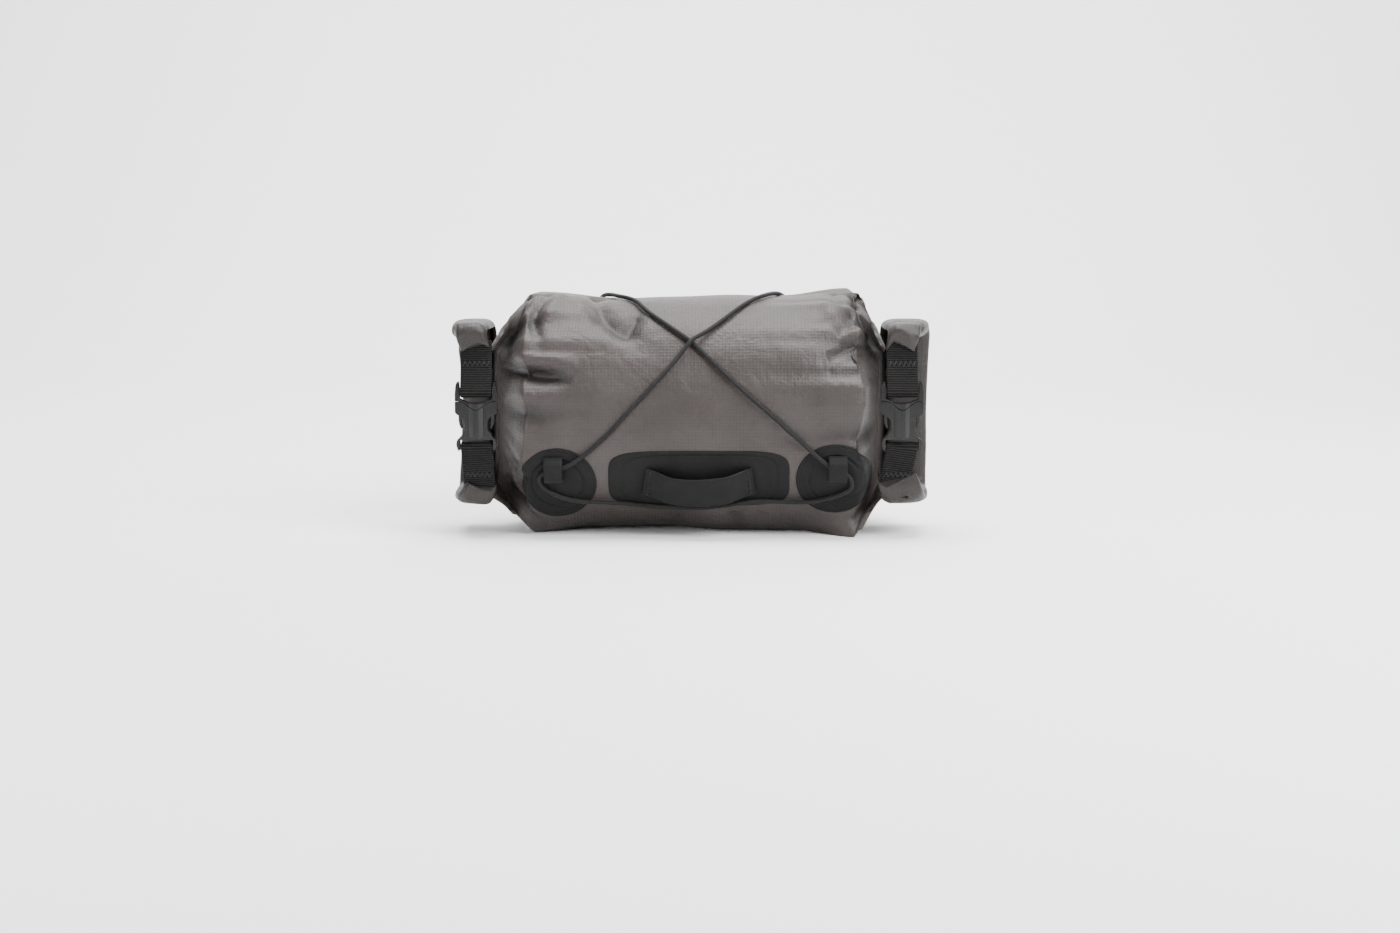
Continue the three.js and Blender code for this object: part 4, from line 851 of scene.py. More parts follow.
def plastic_material(settings):
    """Moulded black plastic: fine grain, faint scuffs that dull the gloss, faint patches of dust."""
    material, tree, shader = new_material("moulded plastic", **{"Specular IOR Level": 0.30, "IOR": 1.5})
    if tree is None:
        return material
    grain = group_in(tree, "moulded grain", grain_group, {"Grain Scale": 1500.0, "Scuff Scale": 160.0})
    rubbing = math_node(tree, "MULTIPLY", grain["Scuffs"], 0.35)
    worn = mix_color(tree, rubbing, opaque(settings.color), WORN_PLASTIC)
    dust = group_in(tree, "dust film", dust_group, {"Color": worn, "Dust": DARK_DUST, "Amount": 0.05, "Scale": 90.0})
    tree.links.new(dust["Color"], shader.inputs["Base Color"])
    gloss = settings.gloss_roughness
    dulled = remapped(tree, grain["Scuffs"], 0.0, 1.0, gloss, gloss + 0.12)
    tree.links.new(dulled, shader.inputs["Roughness"])
    bumped(tree, shader, [(grain["Height"], 0.10, 0.0002)])
    return material


def patch_material(settings, name="bonded patch", share=1.0):
    """Rubbery bonded cloth: dark, matte and finely grained, rubbed lighter in places."""
    material, tree, shader = new_material(name, **{"Specular IOR Level": 0.14, "Sheen Weight": 0.02})
    if tree is None:
        return material
    base = [channel * share for channel in settings.color]
    grain = group_in(tree, "moulded grain", grain_group, {"Grain Scale": 900.0, "Scuff Scale": 70.0})
    place = add_node(tree, "ShaderNodeTexCoord").outputs["Object"]
    cloud = add_node(tree, "ShaderNodeTexNoise", {"Vector": place, "Scale": 45.0, "Detail": 4.0}).outputs["Fac"]
    color = mix_color(tree, remapped(tree, cloud, 0.35, 0.7), opaque(base, 0.85), opaque(base, 1.18))
    rubbed = mix_color(tree, math_node(tree, "MULTIPLY", grain["Scuffs"], 0.25), color, opaque(base, 1.9))
    dust = group_in(tree, "dust film", dust_group, {"Color": rubbed, "Dust": DARK_DUST, "Amount": 0.12, "Scale": 50.0})
    tree.links.new(dust["Color"], shader.inputs["Base Color"])
    tree.links.new(remapped(tree, cloud, 0.3, 0.7, 0.58, 0.74), shader.inputs["Roughness"])
    bumped(tree, shader, [(grain["Height"], 0.30, 0.0003)])
    return material


def cord_material(settings):
    """Braided sheath: slanted yarns, dark grey, with a painted highlight on the yarns' crests and painted shade in the
    grooves.
    """
    material, tree, shader = new_material("cord sheath", **{"Specular IOR Level": 0.12, "Sheen Weight": 0.02})
    if tree is None:
        return material
    braid = group_in(tree, "braid", braid_group, {"Pitch": settings.braid_pitch * 1000})
    # Painted highlight and shade: yarn crests are coloured lighter and the grooves darker, at 0.6 of the base.
    light = [channel * 1.9 + 0.003 for channel in settings.color]
    color = mix_color(tree, remapped(tree, braid["Yarns"], 0.4, 1.0), opaque(settings.color, 0.6), opaque(light))
    dust = group_in(tree, "dust film", dust_group, {"Color": color, "Dust": DARK_DUST, "Amount": 0.12, "Scale": 80.0})
    tree.links.new(dust["Color"], shader.inputs["Base Color"])
    tree.links.new(remapped(tree, braid["Yarns"], 0.3, 1.0, 0.75, 0.5), shader.inputs["Roughness"])
    bumped(tree, shader, [(braid["Height"], 0.6, 0.0003)])
    return material


# Sizes and colours that a user would change

def color_property(label, words, default):
    """A colour as a user sees it in the sidebar."""
    limits = {"size": 3, "min": 0.0, "max": 1.0}
    return FloatVectorProperty(name=label, description=words, subtype="COLOR", default=default, **limits)


def length_property(label, words, default):
    """A length in metres."""
    kind = {"min": 0.0, "precision": 5, "unit": "LENGTH", "subtype": "DISTANCE"}
    return FloatProperty(name=label, description=words, default=default, **kind)


class ClothSettings(bpy.types.PropertyGroup):
    color: color_property("Cloth colour", "Colour of the coated cloth", (0.0300, 0.0238, 0.0218))
    thickness: length_property("Cloth thickness", "Thickness of the cloth with its coating", 0.0015)
    grid_pitch: length_property("Grid pitch", "Distance between the thicker threads of the weave", 0.0022)
    stations: IntProperty(name="Stations", description="Rows of the body's surface along the bag", default=300, min=40, max=400)
    around: IntProperty(name="Around", description="Columns of the body's surface round the bag", default=240, min=40, max=400)


class RollSettings(bpy.types.PropertyGroup):
    turns: FloatProperty(name="Turns", description="How many turns the end is rolled", default=2.6, min=1.0, max=5.0)
    layer: length_property("Layer", "Thickness of the flattened cloth in the roll", 0.0015)
    crumple: length_property("Crumple", "Height of the creases pressed into the roll", 0.0016)


class WebbingSettings(bpy.types.PropertyGroup):
    color: color_property("Webbing colour", "Colour of the webbing", (0.0026, 0.0024, 0.0024))
    width: length_property("Webbing width", "Width of the closure webbing", 0.020)
    thickness: length_property("Webbing thickness", "Thickness of the closure webbing", 0.0016)
    strap_width: length_property("Strap width", "Width of the handlebar straps", 0.025)
    rib_pitch: length_property("Rib pitch", "Distance between the ribs of the weave", 0.0015)


class BuckleSettings(bpy.types.PropertyGroup):
    color: color_property("Buckle colour", "Colour of the moulded plastic", (0.0012, 0.0012, 0.0013))
    edge_radius: length_property("Edge radius", "Rounding of the moulded edges", 0.0007)
    gloss_roughness: FloatProperty(name="Roughness", description="Roughness of the gloss", default=0.13, min=0.0, max=1.0)


class PatchSettings(bpy.types.PropertyGroup):
    color: color_property("Patch colour", "Colour of the bonded patches and loops", (0.0040, 0.0042, 0.0042))
    thickness: length_property("Patch thickness", "Thickness of a bonded patch", 0.0009)
    loop_thickness: length_property("Loop thickness", "Thickness of the gear and cord loops", 0.0014)


class CordSettings(bpy.types.PropertyGroup):
    color: color_property("Cord colour", "Colour of the cord's sheath", (0.0056, 0.0054, 0.0054))
    diameter: length_property("Cord diameter", "Diameter of the shock cord", 0.0028)
    braid_pitch: length_property("Braid pitch", "Distance between the yarns of the sheath", 0.0016)


class StageSettings(bpy.types.PropertyGroup):
    floor_color: color_property("Floor colour", "Colour of the floor and backdrop", (0.84, 0.84, 0.84))
    key_power: FloatProperty(name="Key light", description="Power of the large soft light", default=48.0, min=0.0, unit="POWER")
    fill_power: FloatProperty(name="Fill light", description="Power of the weak light", default=11.0, min=0.0, unit="POWER")
    backdrop_power: FloatProperty(name="Backdrop light", description="Power of the light on the backdrop", default=170.0, min=0.0, unit="POWER")
    world_level: FloatProperty(name="Surrounding light", description="Strength of the light all round", default=0.08, min=0.0)


class BagSettings(bpy.types.PropertyGroup):
    cloth: PointerProperty(name="Cloth", description="Body cloth", type=ClothSettings)
    roll: PointerProperty(name="Rolls", description="Rolled ends", type=RollSettings)
    webbing: PointerProperty(name="Webbing", description="Webbing and straps", type=WebbingSettings)
    buckle: PointerProperty(name="Buckles", description="Side-release buckles", type=BuckleSettings)
    patch: PointerProperty(name="Patches", description="Patches and loops", type=PatchSettings)
    cord: PointerProperty(name="Cord", description="Shock cord", type=CordSettings)
    stage: PointerProperty(name="Stage", description="Floor and lights", type=StageSettings)


# Body

class HANDLEBAR_BAG_OT_body(bpy.types.Operator):
    """The stuffed body: an outer and an inner grid of the cloth's surface, joined round the rim of each mouth"""
    bl_idname = "handlebar_bag.body"
    bl_label = "Stuffed body"

    def execute(self, context):
        settings = context.scene.handlebar_bag.cloth
        share = np.linspace(-1, 1, settings.stations)
        crowding = TOP * 0.93
        x = (np.sin(share * crowding) / math.sin(crowding) * reach_at(share))[:, None]
        angle = (np.arange(settings.around) / settings.around * 2 * math.pi)[None, :]
        outer = cloth_point(x, angle)
        along = np.gradient(outer, axis=0)
        around = np.roll(outer, -1, 1) - np.roll(outer, 1, 1)
        normal = unit(np.cross(along, around))
        normal[[0, -1], :, 0] = 0
        normal = unit(normal)
        inner_rows = np.unique(np.round(np.linspace(0, settings.stations - 1, settings.stations // 4)).astype(int))
        inner = (outer - normal * settings.thickness * 1000)[inner_rows]
        part = self.shell(outer, inner)
        # The folds' depth, left unfaded at the mouths, is stored as 'valley' and paints shade into the cloth's colour.
        depth = broad_folds(x, angle) + fine_creases(x, angle, False)
        valley = np.concatenate([depth.ravel(), depth[inner_rows].ravel()])
        material = cloth_material(settings)
        add_piece("stuffed_body", part, material, ("bag_shell",), 80.0, {"valley": valley})
        return {"FINISHED"}

    def shell(self, outer, inner):
        """Both grids and the two rims; U follows the cloth along the bag from its middle and V round it."""
        rows, columns = outer.shape[:2]
        closed = np.concatenate([outer, outer[:, :1]], 1)
        along = run_lengths(closed, 0)
        along -= along[rows // 2]
        around = np.broadcast_to(run_lengths(closed[rows // 2:rows // 2 + 1], 1), along.shape)
        uv = np.stack([along, around], -1)
        inner_uv = uv[np.round(np.linspace(0, rows - 1, len(inner))).astype(int)]
        outside = grid_part(outer, uv, wrap_columns=True)
        inside = grid_part(inner[::-1], inner_uv[::-1], wrap_columns=True)
        both = joined([outside, inside])
        count = len(outer.reshape(-1, 3))
        last_inner = len(inner.reshape(-1, 3))
        j = np.arange(columns)
        k = (j + 1) % columns
        left = np.stack([k, j, count + last_inner - columns + j, count + last_inner - columns + k], -1)
        right = np.stack([j + count - columns, k + count - columns, count + k, count + j], -1)
        rims = []
        for quads, row in ((left, 0), (right, rows - 1)):
            corner = np.stack([uv[row, j], uv[row, j + 1], uv[row, j + 1], uv[row, j]], 1)
            rims.append({"points": None, "loops": quads.ravel(), "sizes": np.full(columns, 4), "uv": corner.reshape(-1, 2)})
        return add_faces(both, *rims)


# Rolled ends

ROLL_TOP = 59.0
ROLL_BOTTOM = -48.0
ROLL_BACK_Y = -7.0
ROLL_FRONT_Y = -62.0
ROLL_THICKNESS = 11.0
ROLL_CORNER = 9.0
ROLL_TIP_TOP = 14.0
ROLL_TIP_BOTTOM = 9.0
TIP_TOP_Z = AXIS_HEIGHT + ROLL_TOP - ROLL_TIP_TOP
TIP_BOTTOM_Z = AXIS_HEIGHT + ROLL_BOTTOM + ROLL_TIP_BOTTOM
# Columns: share of the roll's length from its top tip, thickness as a share, then the distance from the mouth to the
# roll's inner and outer side, in millimetres.
LEFT_ROLL = np.array([
    (0.00, 0.60, -0.5, 20.5), (0.04, 1.00, 1.6, 24.0), (0.09, 1.20, 3.0, 27.6), (0.14, 1.20, 1.2, 28.6), (0.30, 1.10, 0.3, 29.0),
    (0.50, 0.95, 0.3, 25.6), (0.72, 1.05, 0.3, 28.6), (0.90, 1.10, 0.3, 28.0), (0.96, 1.00, -2.0, 25.0),
    (1.00, 0.60, -4.0, 18.5),
])
RIGHT_ROLL = np.array([
    (0.00, 0.60, -0.3, 21.0), (0.04, 1.00, 0.9, 24.0), (0.09, 1.15, 1.5, 28.5), (0.14, 1.20, 1.0, 32.0), (0.30, 1.10, 0.3, 37.0),
    (0.50, 0.95, 0.3, 35.6), (0.72, 1.05, 0.3, 35.6), (0.90, 1.10, 0.3, 33.0), (0.96, 1.00, -3.0, 28.5),
    (1.00, 0.60, -5.0, 23.0),
])
# Tip edges. Columns: place across from -1 at the body to 1, rise of the top tip's edge, rise of the bottom tip's edge.
LEFT_TIPS = np.array([(-1.0, 3.6, -0.6), (-0.8, 5.4, -4.4), (-0.3, 6.7, -3.6), (0.3, 4.6, -1.6), (1.0, 0.2, 3.0)])
RIGHT_TIPS = np.array([(-1.0, 1.6, 1.2), (-0.6, 8.0, -2.0), (-0.2, 7.4, 0.6), (0.4, 4.2, 4.6), (1.0, 0.2, 8.0)])
# Creases on the rolls' fronts. Columns: x and height at the start, the same at the end, width, height of the ridge
# (below zero for a groove), in millimetres.
LEFT_TIP_CREASES = [
    (-142, -37, -146, -47, 1.8, 1.6), (-146, -36, -150, -44, 2.2, -1.9), (-139, 66, -147, 47, 2.6, 1.3),
    (-152, 66, -153, 54, 2.2, -2.6), (-149.5, 66, -149, 50, 1.4, 1.4), (-132, -44, -140, -49, 2.4, -0.9),
]
RIGHT_TIP_CREASES = [
    (138, -31, 147, -47, 1.8, 1.7), (141.5, -31, 150, -43, 2.4, -1.2), (146, 67, 142.5, 46, 1.3, 1.6),
    (148, 66, 146, 58, 1.3, -2.6), (150.5, 64, 145.5, 56, 1.1, 1.6), (152.5, 60, 145.5, 52, 1.3, -2.4),
    (152, 55, 145, 49, 1.1, 1.8), (130, 62, 139, 50, 3.4, 0.9), (124, -43, 131, -44, 2.4, -0.4),
]
ENDS = [
    {
        "side": "left", "sign": -1, "reach": REACH_LEFT, "web_x": -137.8, "slant": 1.6, "seed": 11,
        "edges": LEFT_ROLL, "tips": LEFT_TIPS, "creases": LEFT_TIP_CREASES,
    },
    {
        "side": "right", "sign": 1, "reach": REACH_RIGHT, "web_x": 133.4, "slant": 5.0, "seed": 5,
        "edges": RIGHT_ROLL, "tips": RIGHT_TIPS, "creases": RIGHT_TIP_CREASES,
    },
]


def rounded_line(corners, radius, x):
    """A line of (y, z) corners at one x whose inner corners are quadratic curves."""
    corners = np.array(corners, float)
    pieces = [corners[:1]]
    for before, corner, after in zip(corners[:-2], corners[1:-1], corners[2:]):
        enter = corner + unit(before - corner) * radius
        leave = corner + unit(after - corner) * radius
        t = np.linspace(0, 1, 10)[:, None]
        pieces.append((1 - t) ** 2 * enter + 2 * t * (1 - t) * corner + t ** 2 * leave)
    pieces.append(corners[-1:])
    line = np.concatenate(pieces)
    return np.column_stack([np.full(len(line), x), line])


class HANDLEBAR_BAG_OT_rolls(bpy.types.Operator):
    """The rolled ends: flattened cloth wound into a flat spiral, carried along a lying U"""
    bl_idname = "handlebar_bag.rolls"
    bl_label = "Rolled ends"

    def execute(self, context):
        settings = context.scene.handlebar_bag
        # Painted shade: the rolled ends are the body's cloth with its colour darkened to 0.42.
        material = cloth_material(settings.cloth, "coated ripstop rolled", (0.42, 0.42, 0.41))
        for end in ENDS:
            points = self.roll(end, settings.roll)
            piece_name = f"rolled_end_{end['side']}"
            part = tube_part(points)
            valley = np.zeros(len(part["points"]))
            add_piece(piece_name, part, material, (f"roll_closure_{end['side']}",), 50.0, {"valley": valley})
        return {"FINISHED"}

    def roll(self, end, settings):
        """Rings of the spiral's outline. The spiral shrinks from the full width and thickness towards its middle; its
        sides follow the edge table and its front the creases; slow crumples lie over it all."""
        layer = settings.layer * 1000
        top, bottom = AXIS_HEIGHT + ROLL_TOP, AXIS_HEIGHT + ROLL_BOTTOM
        corners = [
            (ROLL_FRONT_Y, TIP_TOP_Z), (ROLL_FRONT_Y, top), (ROLL_BACK_Y, top),
            (ROLL_BACK_Y, bottom), (ROLL_FRONT_Y, bottom), (ROLL_FRONT_Y, TIP_BOTTOM_Z),
        ]
        path = resampled(rounded_line(corners, ROLL_CORNER, 0.0), 1.1)
        share = np.linspace(0, 1, len(path))
        edges = end["edges"]
        thick, inner, outer = (np.interp(share, edges[:, 0], edges[:, column])[:, None] for column in (1, 2, 3))
        thick = ROLL_THICKNESS * thick
        s = np.linspace(0, 1, 120)
        turn = math.pi + 2 * math.pi * settings.turns * s
        half_w = 1 - 0.84 * s
        half_t = thick / 2 - layer / 2 - (0.40 * thick - 0.4) * s
        across = np.broadcast_to(half_w * signed_power(np.cos(turn), 0.55), half_t.shape)
        lead = 3.2 * ease(np.minimum(share - 0.30, 0.74 - share) * 12)[:, None] * ease(1 - s * 40)
        width = outer - inner
        line = np.stack([
            end["sign"] * (end["reach"] + inner + layer / 2 + (width - layer) * (across + 1) / 2 - lead),
            half_t * signed_power(np.sin(turn), 0.85),
        ], -1)
        tangent = unit(np.gradient(line, axis=1))
        side = np.stack([-tangent[..., 1], tangent[..., 0]], -1) * layer / 2
        profile = np.concatenate([line + side, (line - side)[:, ::-1]], 1)
        points = swept(path, np.array([1.0, 0.0, 0.0]), profile)
        middle = path[:, None] + [end["sign"] * (end["reach"] + 14.0), 0, 0]
        outward = unit((points - middle) * [0.4, 1, 1])
        fold = crumple(points * [0.6, 1, 1], 15.0, end["seed"]) - 0.45
        near_tip = ease(1 - np.minimum(share, 1 - share) * 4)[:, None]
        points = points + outward * (fold * settings.crumple * 1000 * (0.8 + 0.6 * near_tip))[..., None]
        points = self.creased(points, end)
        full = np.concatenate([across, across[:, ::-1]], 1)
        return self.arched(points, end, share, full)

    def creased(self, points, end):
        """Ridges and grooves on the front: a bell across each line, which fades past its ends and behind the front."""
        front = ease((-points[..., 1] - 52) / 8)
        for x0, z0, x1, z1, width, height in end["creases"]:
            run_x, run_z = x1 - x0, z1 - z0
            off_x, off_z = points[..., 0] - x0, points[..., 2] - AXIS_HEIGHT - z0
            near = np.clip((off_x * run_x + off_z * run_z) / (run_x ** 2 + run_z ** 2), 0, 1)
            miss = np.hypot(off_x - near * run_x, off_z - near * run_z) / width
            points = points - [0, 1, 0] * (height * np.exp(-miss ** 1.6) * front)[..., None]
        return points

    def arched(self, points, end, share, across):
        """Cuts the tips in their slanted arches: points near a tip move up or down by the tip table's rise."""
        tips = end["tips"]
        top_tip = ease(1 - share * 11)[:, None]
        low_tip = ease(1 - (1 - share) * 13)[:, None]
        shift = np.zeros_like(points)
        shift[..., 2] = top_tip * np.interp(across, tips[:, 0], tips[:, 1])
        shift[..., 2] += low_tip * np.interp(across, tips[:, 0], tips[:, 2])
        return points + shift


# Webbing

BUCKLE_Z = 5.2
BUCKLE_Y = -66.0
BUCKLE_HEIGHT = 45.0
BUCKLE_BAR = 3.0
MALE_BAR_SHARE = 0.63
FEMALE_BAR_SHARE = -0.84
WEB_POCKET = 8.0
WEB_TACK = 10.0


def web_path(end, is_upper, thickness):
    """From a pocket in the roll's tip, over the buckle's bar in a half circle and back up to its tack."""
    up = 1 if is_upper else -1
    bar_edge = BUCKLE_HEIGHT / 2 * (MALE_BAR_SHARE if is_upper else FEMALE_BAR_SHARE)
    bar_z = AXIS_HEIGHT + BUCKLE_Z + bar_edge + up * BUCKLE_BAR / 2
    tip_z = TIP_TOP_Z if is_upper else TIP_BOTTOM_Z
    wrap = BUCKLE_BAR * math.sqrt(0.5) + GAP + thickness / 2
    a = math.pi + np.linspace(0, math.pi, 22)
    turn = np.stack([BUCKLE_Y + wrap * np.cos(a), bar_z + up * wrap * np.sin(a)], -1)
    line = np.concatenate([
        [(ROLL_FRONT_Y, tip_z + up * WEB_POCKET), (ROLL_FRONT_Y, tip_z - up * GAP)],
        turn,
        [(ROLL_FRONT_Y + thickness + GAP, tip_z - up * WEB_TACK)],
    ])
    x = np.full(len(line), float(end["web_x"]))
    if not is_upper:
        lowered = np.clip((line[2, 1] - line[:, 1]) / (line[2, 1] - line[0, 1]), 0, 1)
        x -= end["sign"] * end["slant"] * lowered
    return softened(resampled(np.column_stack([x, line]), 0.6), 3)


class HANDLEBAR_BAG_OT_webbing(bpy.types.Operator):
    """The closure webbing: flat bands that leave the rolls' tips and wrap the buckle bars, with their bar tacks"""
    bl_idname = "handlebar_bag.webbing"
    bl_label = "Closure webbing"

    def execute(self, context):
        settings = context.scene.handlebar_bag.webbing
        material = webbing_material(settings)
        thread = thread_material(settings)
        profile = band_profile(settings.width * 1000, settings.thickness * 1000)
        for end in ENDS:
            for is_upper, word in ((True, "upper"), (False, "lower")):
                path = web_path(end, is_upper, settings.thickness * 1000)
                part = tube_part(swept(path, np.array([1.0, 0.0, 0.0]), profile))
                name = f"closure_web_{word}_{end['side']}"
                add_piece(f"woven_{name}", part, material, (name,), 50.0)
                add_piece(f"bar_tack_{word}_{end['side']}", self.tack(end, path, is_upper, settings), thread)
        return {"FINISHED"}

    def tack(self, end, path, is_upper, settings):
        """Two zigzag rows of stitches across the webbing, a little way below the roll's tip."""
        up = 1 if is_upper else -1
        height = (TIP_TOP_Z if is_upper else TIP_BOTTOM_Z) - up * 6.0
        front = path[: len(path) // 2]
        order = np.argsort(front[:, 2])
        count = 11
        across = np.linspace(-0.42, 0.42, count + 1) * settings.width * 1000
        starts, ends = [], []
        for row in (0.0, 0.7):
            z = height - up * row + 1.5 * np.where(np.arange(count + 1) % 2, 1, -1)
            y = np.interp(z, front[order, 2], front[order, 1]) - settings.thickness * 500 - 0.05
            x = np.interp(z, front[order, 2], front[order, 0]) + across
            line = np.column_stack([x, y, z])
            starts.append(line[:-1])
            ends.append(line[1:])
        starts, ends = np.concatenate(starts), np.concatenate(ends)
        lifts = np.broadcast_to([0.0, -1.0, 0.0], starts.shape)
        return stitch_part(starts, ends, lifts, 0.28)


# Buckles

def merged_copy(node_name, name):
    """A copy of a solid with its doubles merged and its flat faces joined, ready for rounded edges."""
    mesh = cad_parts[node_name].data.copy()
    mesh.name = name
    shape = bmesh.new()
    shape.from_mesh(mesh)
    bmesh.ops.remove_doubles(shape, verts=shape.verts, dist=1e-6)
    bmesh.ops.dissolve_limit(shape, angle_limit=math.radians(1.0), verts=shape.verts, edges=shape.edges)
    shape.to_mesh(mesh)
    shape.free()
    mesh.materials.clear()
    return mesh


class HANDLEBAR_BAG_OT_buckles(bpy.types.Operator):
    """The side-release buckles: the solids' outlines with their moulded edges rounded"""
    bl_idname = "handlebar_bag.buckles"
    bl_label = "Buckles"

    def execute(self, context):
        settings = context.scene.handlebar_bag.buckle
        material = plastic_material(settings)
        for side in ("left", "right"):
            for half in ("male", "female"):
                node_name = f"buckle_{half}_{side}"
                name = f"moulded_{node_name}"
                mesh = merged_copy(node_name, name)
                mesh.materials.append(material)
                mesh.polygons.foreach_set("use_smooth", np.ones(len(mesh.polygons), bool))
                piece = bpy.data.objects.new(name, mesh)
                context.scene.collection.objects.link(piece)
                rounding = piece.modifiers.new("moulded edges", "BEVEL")
                rounding.width = settings.edge_radius
                rounding.segments = 3
                rounding.limit_method = "ANGLE"
                rounding.angle_limit = math.radians(28)
                rounding.use_clamp_overlap = True
                flattened = piece.modifiers.new("flat faces", "WEIGHTED_NORMAL")
                flattened.weight = 90
                flattened.keep_sharp = True
                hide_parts(node_name)
                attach(piece, "root")
        return {"FINISHED"}


# Patches

def patch_part(place, thickness, rings):
    """A patch on the cloth: a superellipse filled by rings that shrink to its middle. Its lift falls to the cloth over a
    rounded rim and dips in shallow pressed lines, given as (share of the outline, depth, width)."""
    x, z, width, height, square = place
    share = np.concatenate([np.linspace(1, 0.9, 16), np.linspace(0.89, 0.02, 88)])
    angle = np.linspace(0, 2 * math.pi, 180, endpoint=False)
    outline_x = signed_power(np.cos(angle), 2 / square) * width / 2
    outline_z = signed_power(np.sin(angle), 2 / square) * height / 2
    place_x = x + share[:, None] * outline_x
    place_z = z + share[:, None] * outline_z
    rim = (1 - share) * min(width, height) / 2
    lift = 0.15 + (thickness - 0.15) * np.sqrt(np.clip(rim / 0.8, 0, 1) * (2 - np.clip(rim / 0.8, 0, 1)))
    for at, depth, wide in rings:
        lift = lift - depth * bump((share - at) / wide)
    around = angle_seen(place_x, place_z)
    upper = cloth_point(place_x, around, np.broadcast_to(lift[:, None], place_x.shape))
    lower = cloth_point(place_x[:1], around[:1], -0.25)
    points = np.concatenate([lower, upper])
    place_x = np.concatenate([place_x[:1], place_x])
    place_z = np.concatenate([place_z[:1], place_z])
    uv = np.stack([place_x, place_z], -1)
    uv = np.concatenate([uv, uv[:, :1]], 1)
    part = grid_part(points, uv, wrap_columns=True)
    columns = points.shape[1]
    first = np.arange(columns)[::-1]
    last = np.arange(columns) + (points.shape[0] - 1) * columns
    return add_faces(part, face_part(first, uv[0, first]), face_part(last, uv[-1, :columns]))


class HANDLEBAR_BAG_OT_patches(bpy.types.Operator):
    """The bonded patches: two round anchors and the base of the gear loop, each with its pressed lines"""
    bl_idname = "handlebar_bag.patches"
    bl_label = "Bonded patches"

    def execute(self, context):
        settings = context.scene.handlebar_bag.patch
        material = patch_material(settings)
        thick = settings.thickness * 1000
        for side, place in zip(("left", "right"), PATCHES):
            part = patch_part(place, thick, [(0.66, 0.55, 0.030), (0.74, -0.25, 0.030), (0.93, 0.25, 0.016)])
            add_piece(f"round_patch_{side}", part, material, (f"anchor_patch_{side}",), 80.0)
        part = patch_part(PATCHES[2], thick, [(0.86, 0.55, 0.020), (0.80, -0.2, 0.020)])
        add_piece("loop_base_patch", part, material, ("base_patch",), 80.0)
        return {"FINISHED"}


# Loops

LIE_GAP = 0.4
PATCH_THICKNESS = 0.8


def bridge_path(band, thickness):
    """A band that stands off the patch: it rises from each tab by an eased step, and droops as a half sine."""
    t = np.linspace(0, 1, band["steps"])
    off = (t - 0.5) * band["length"]
    x = band["x"] + (off if band["along_x"] else 0 * off)
    z = band["z"] + (-band["droop"] * np.sin(math.pi * t) if band["along_x"] else off)
    tab = LIE_GAP + PATCH_THICKNESS + LIE_GAP + thickness / 2
    rise = ease(np.minimum(t, 1 - t) / band["shoulder"])
    angle = angle_at(x, z)
    path = cloth_point(x, angle, tab + band["bow"] + (band["lift"] - tab) * rise)
    upward = cloth_point(x, angle + 0.05) - cloth_point(x, angle - 0.05)
    across = upward if band["along_x"] else np.broadcast_to([1.0, 0.0, 0.0], upward.shape)
    return path, across


GEAR_LOOP = {
    "x": PATCHES[2][0], "z": PATCHES[2][1] - 0.5, "along_x": True, "length": 70.0, "width": 20.0,
    "lift": 9.4, "droop": 3.0, "shoulder": 0.28, "bow": 0.8, "steps": 130,
}
CORD_LOOPS = [("left", -89.0, -29.0), ("right", 92.5, -28.0)]


class HANDLEBAR_BAG_OT_loops(bpy.types.Operator):
    """The gear loop and the two cord loops, with the bar tacks that hold the gear loop"""
    bl_idname = "handlebar_bag.loops"
    bl_label = "Gear loop and cord loops"

    def execute(self, context):
        settings = context.scene.handlebar_bag
        material = patch_material(settings.patch, "loop band", 1.05)
        thick = settings.patch.loop_thickness * 1000
        path, across = bridge_path(GEAR_LOOP, thick)
        part = tube_part(swept(path, across, self.bowed(GEAR_LOOP["width"], thick, GEAR_LOOP["bow"])))
        add_piece("gear_loop_band", part, material, ("gear_loop",), 50.0)
        add_piece("gear_loop_tacks", self.tacks(path, across, thick), thread_material(settings.webbing))
        for side, x, z in CORD_LOOPS:
            band = {
                "x": x, "z": z, "along_x": False, "length": 17.0, "width": 12.0,
                "lift": 6.2, "droop": 0.0, "shoulder": 0.3, "bow": 0.0, "steps": 60,
            }
            path, across = bridge_path(band, thick)
            part = tube_part(swept(path, across, band_profile(band["width"], thick)))
            add_piece(f"cord_loop_band_{side}", part, material, (f"cord_loop_{side}",), 50.0)
        return {"FINISHED"}

    def bowed(self, width, thickness, bow):
        """A flat section bent in a shallow parabola, its edges nearer the cloth."""
        profile = band_profile(width, thickness)
        profile[:, 1] -= bow * (profile[:, 0] / (width / 2)) ** 2
        return profile

    def tacks(self, path, across, thickness):
        """A zigzag of stitches up each end of the gear loop."""
        starts, ends, lifts = [], [], []
        tangent = unit(np.gradient(path, axis=0))
        side = unit(across - (across * tangent).sum(-1, keepdims=True) * tangent)
        out = np.cross(tangent, side)
        out *= np.sign(-out[:, 1:2])
        for row in (5, len(path) - 6):
            z = np.linspace(-0.44, 0.44, 22) * GEAR_LOOP["width"]
            wave = 0.9 * np.where(np.arange(22) % 2, 1, -1)
            drop = GEAR_LOOP["bow"] * (z / (GEAR_LOOP["width"] / 2)) ** 2
            line = path[row] + side[row] * z[:, None] + tangent[row] * wave[:, None]
            line = line + out[row] * (thickness / 2 + 0.05 - drop)[:, None]
            starts.append(line[:-1])
            ends.append(line[1:])
            lifts.append(np.broadcast_to(out[row], line[1:].shape))
        return stitch_part(np.concatenate(starts), np.concatenate(ends), np.concatenate(lifts), 0.28)


# Handlebar straps

BAR_Y = 80.0
BAR_Z = 52.0
BAR_RADIUS = 15.9
BAR_STRAP_X = 44.0
BAR_STRAP_THICKNESS = 1.8


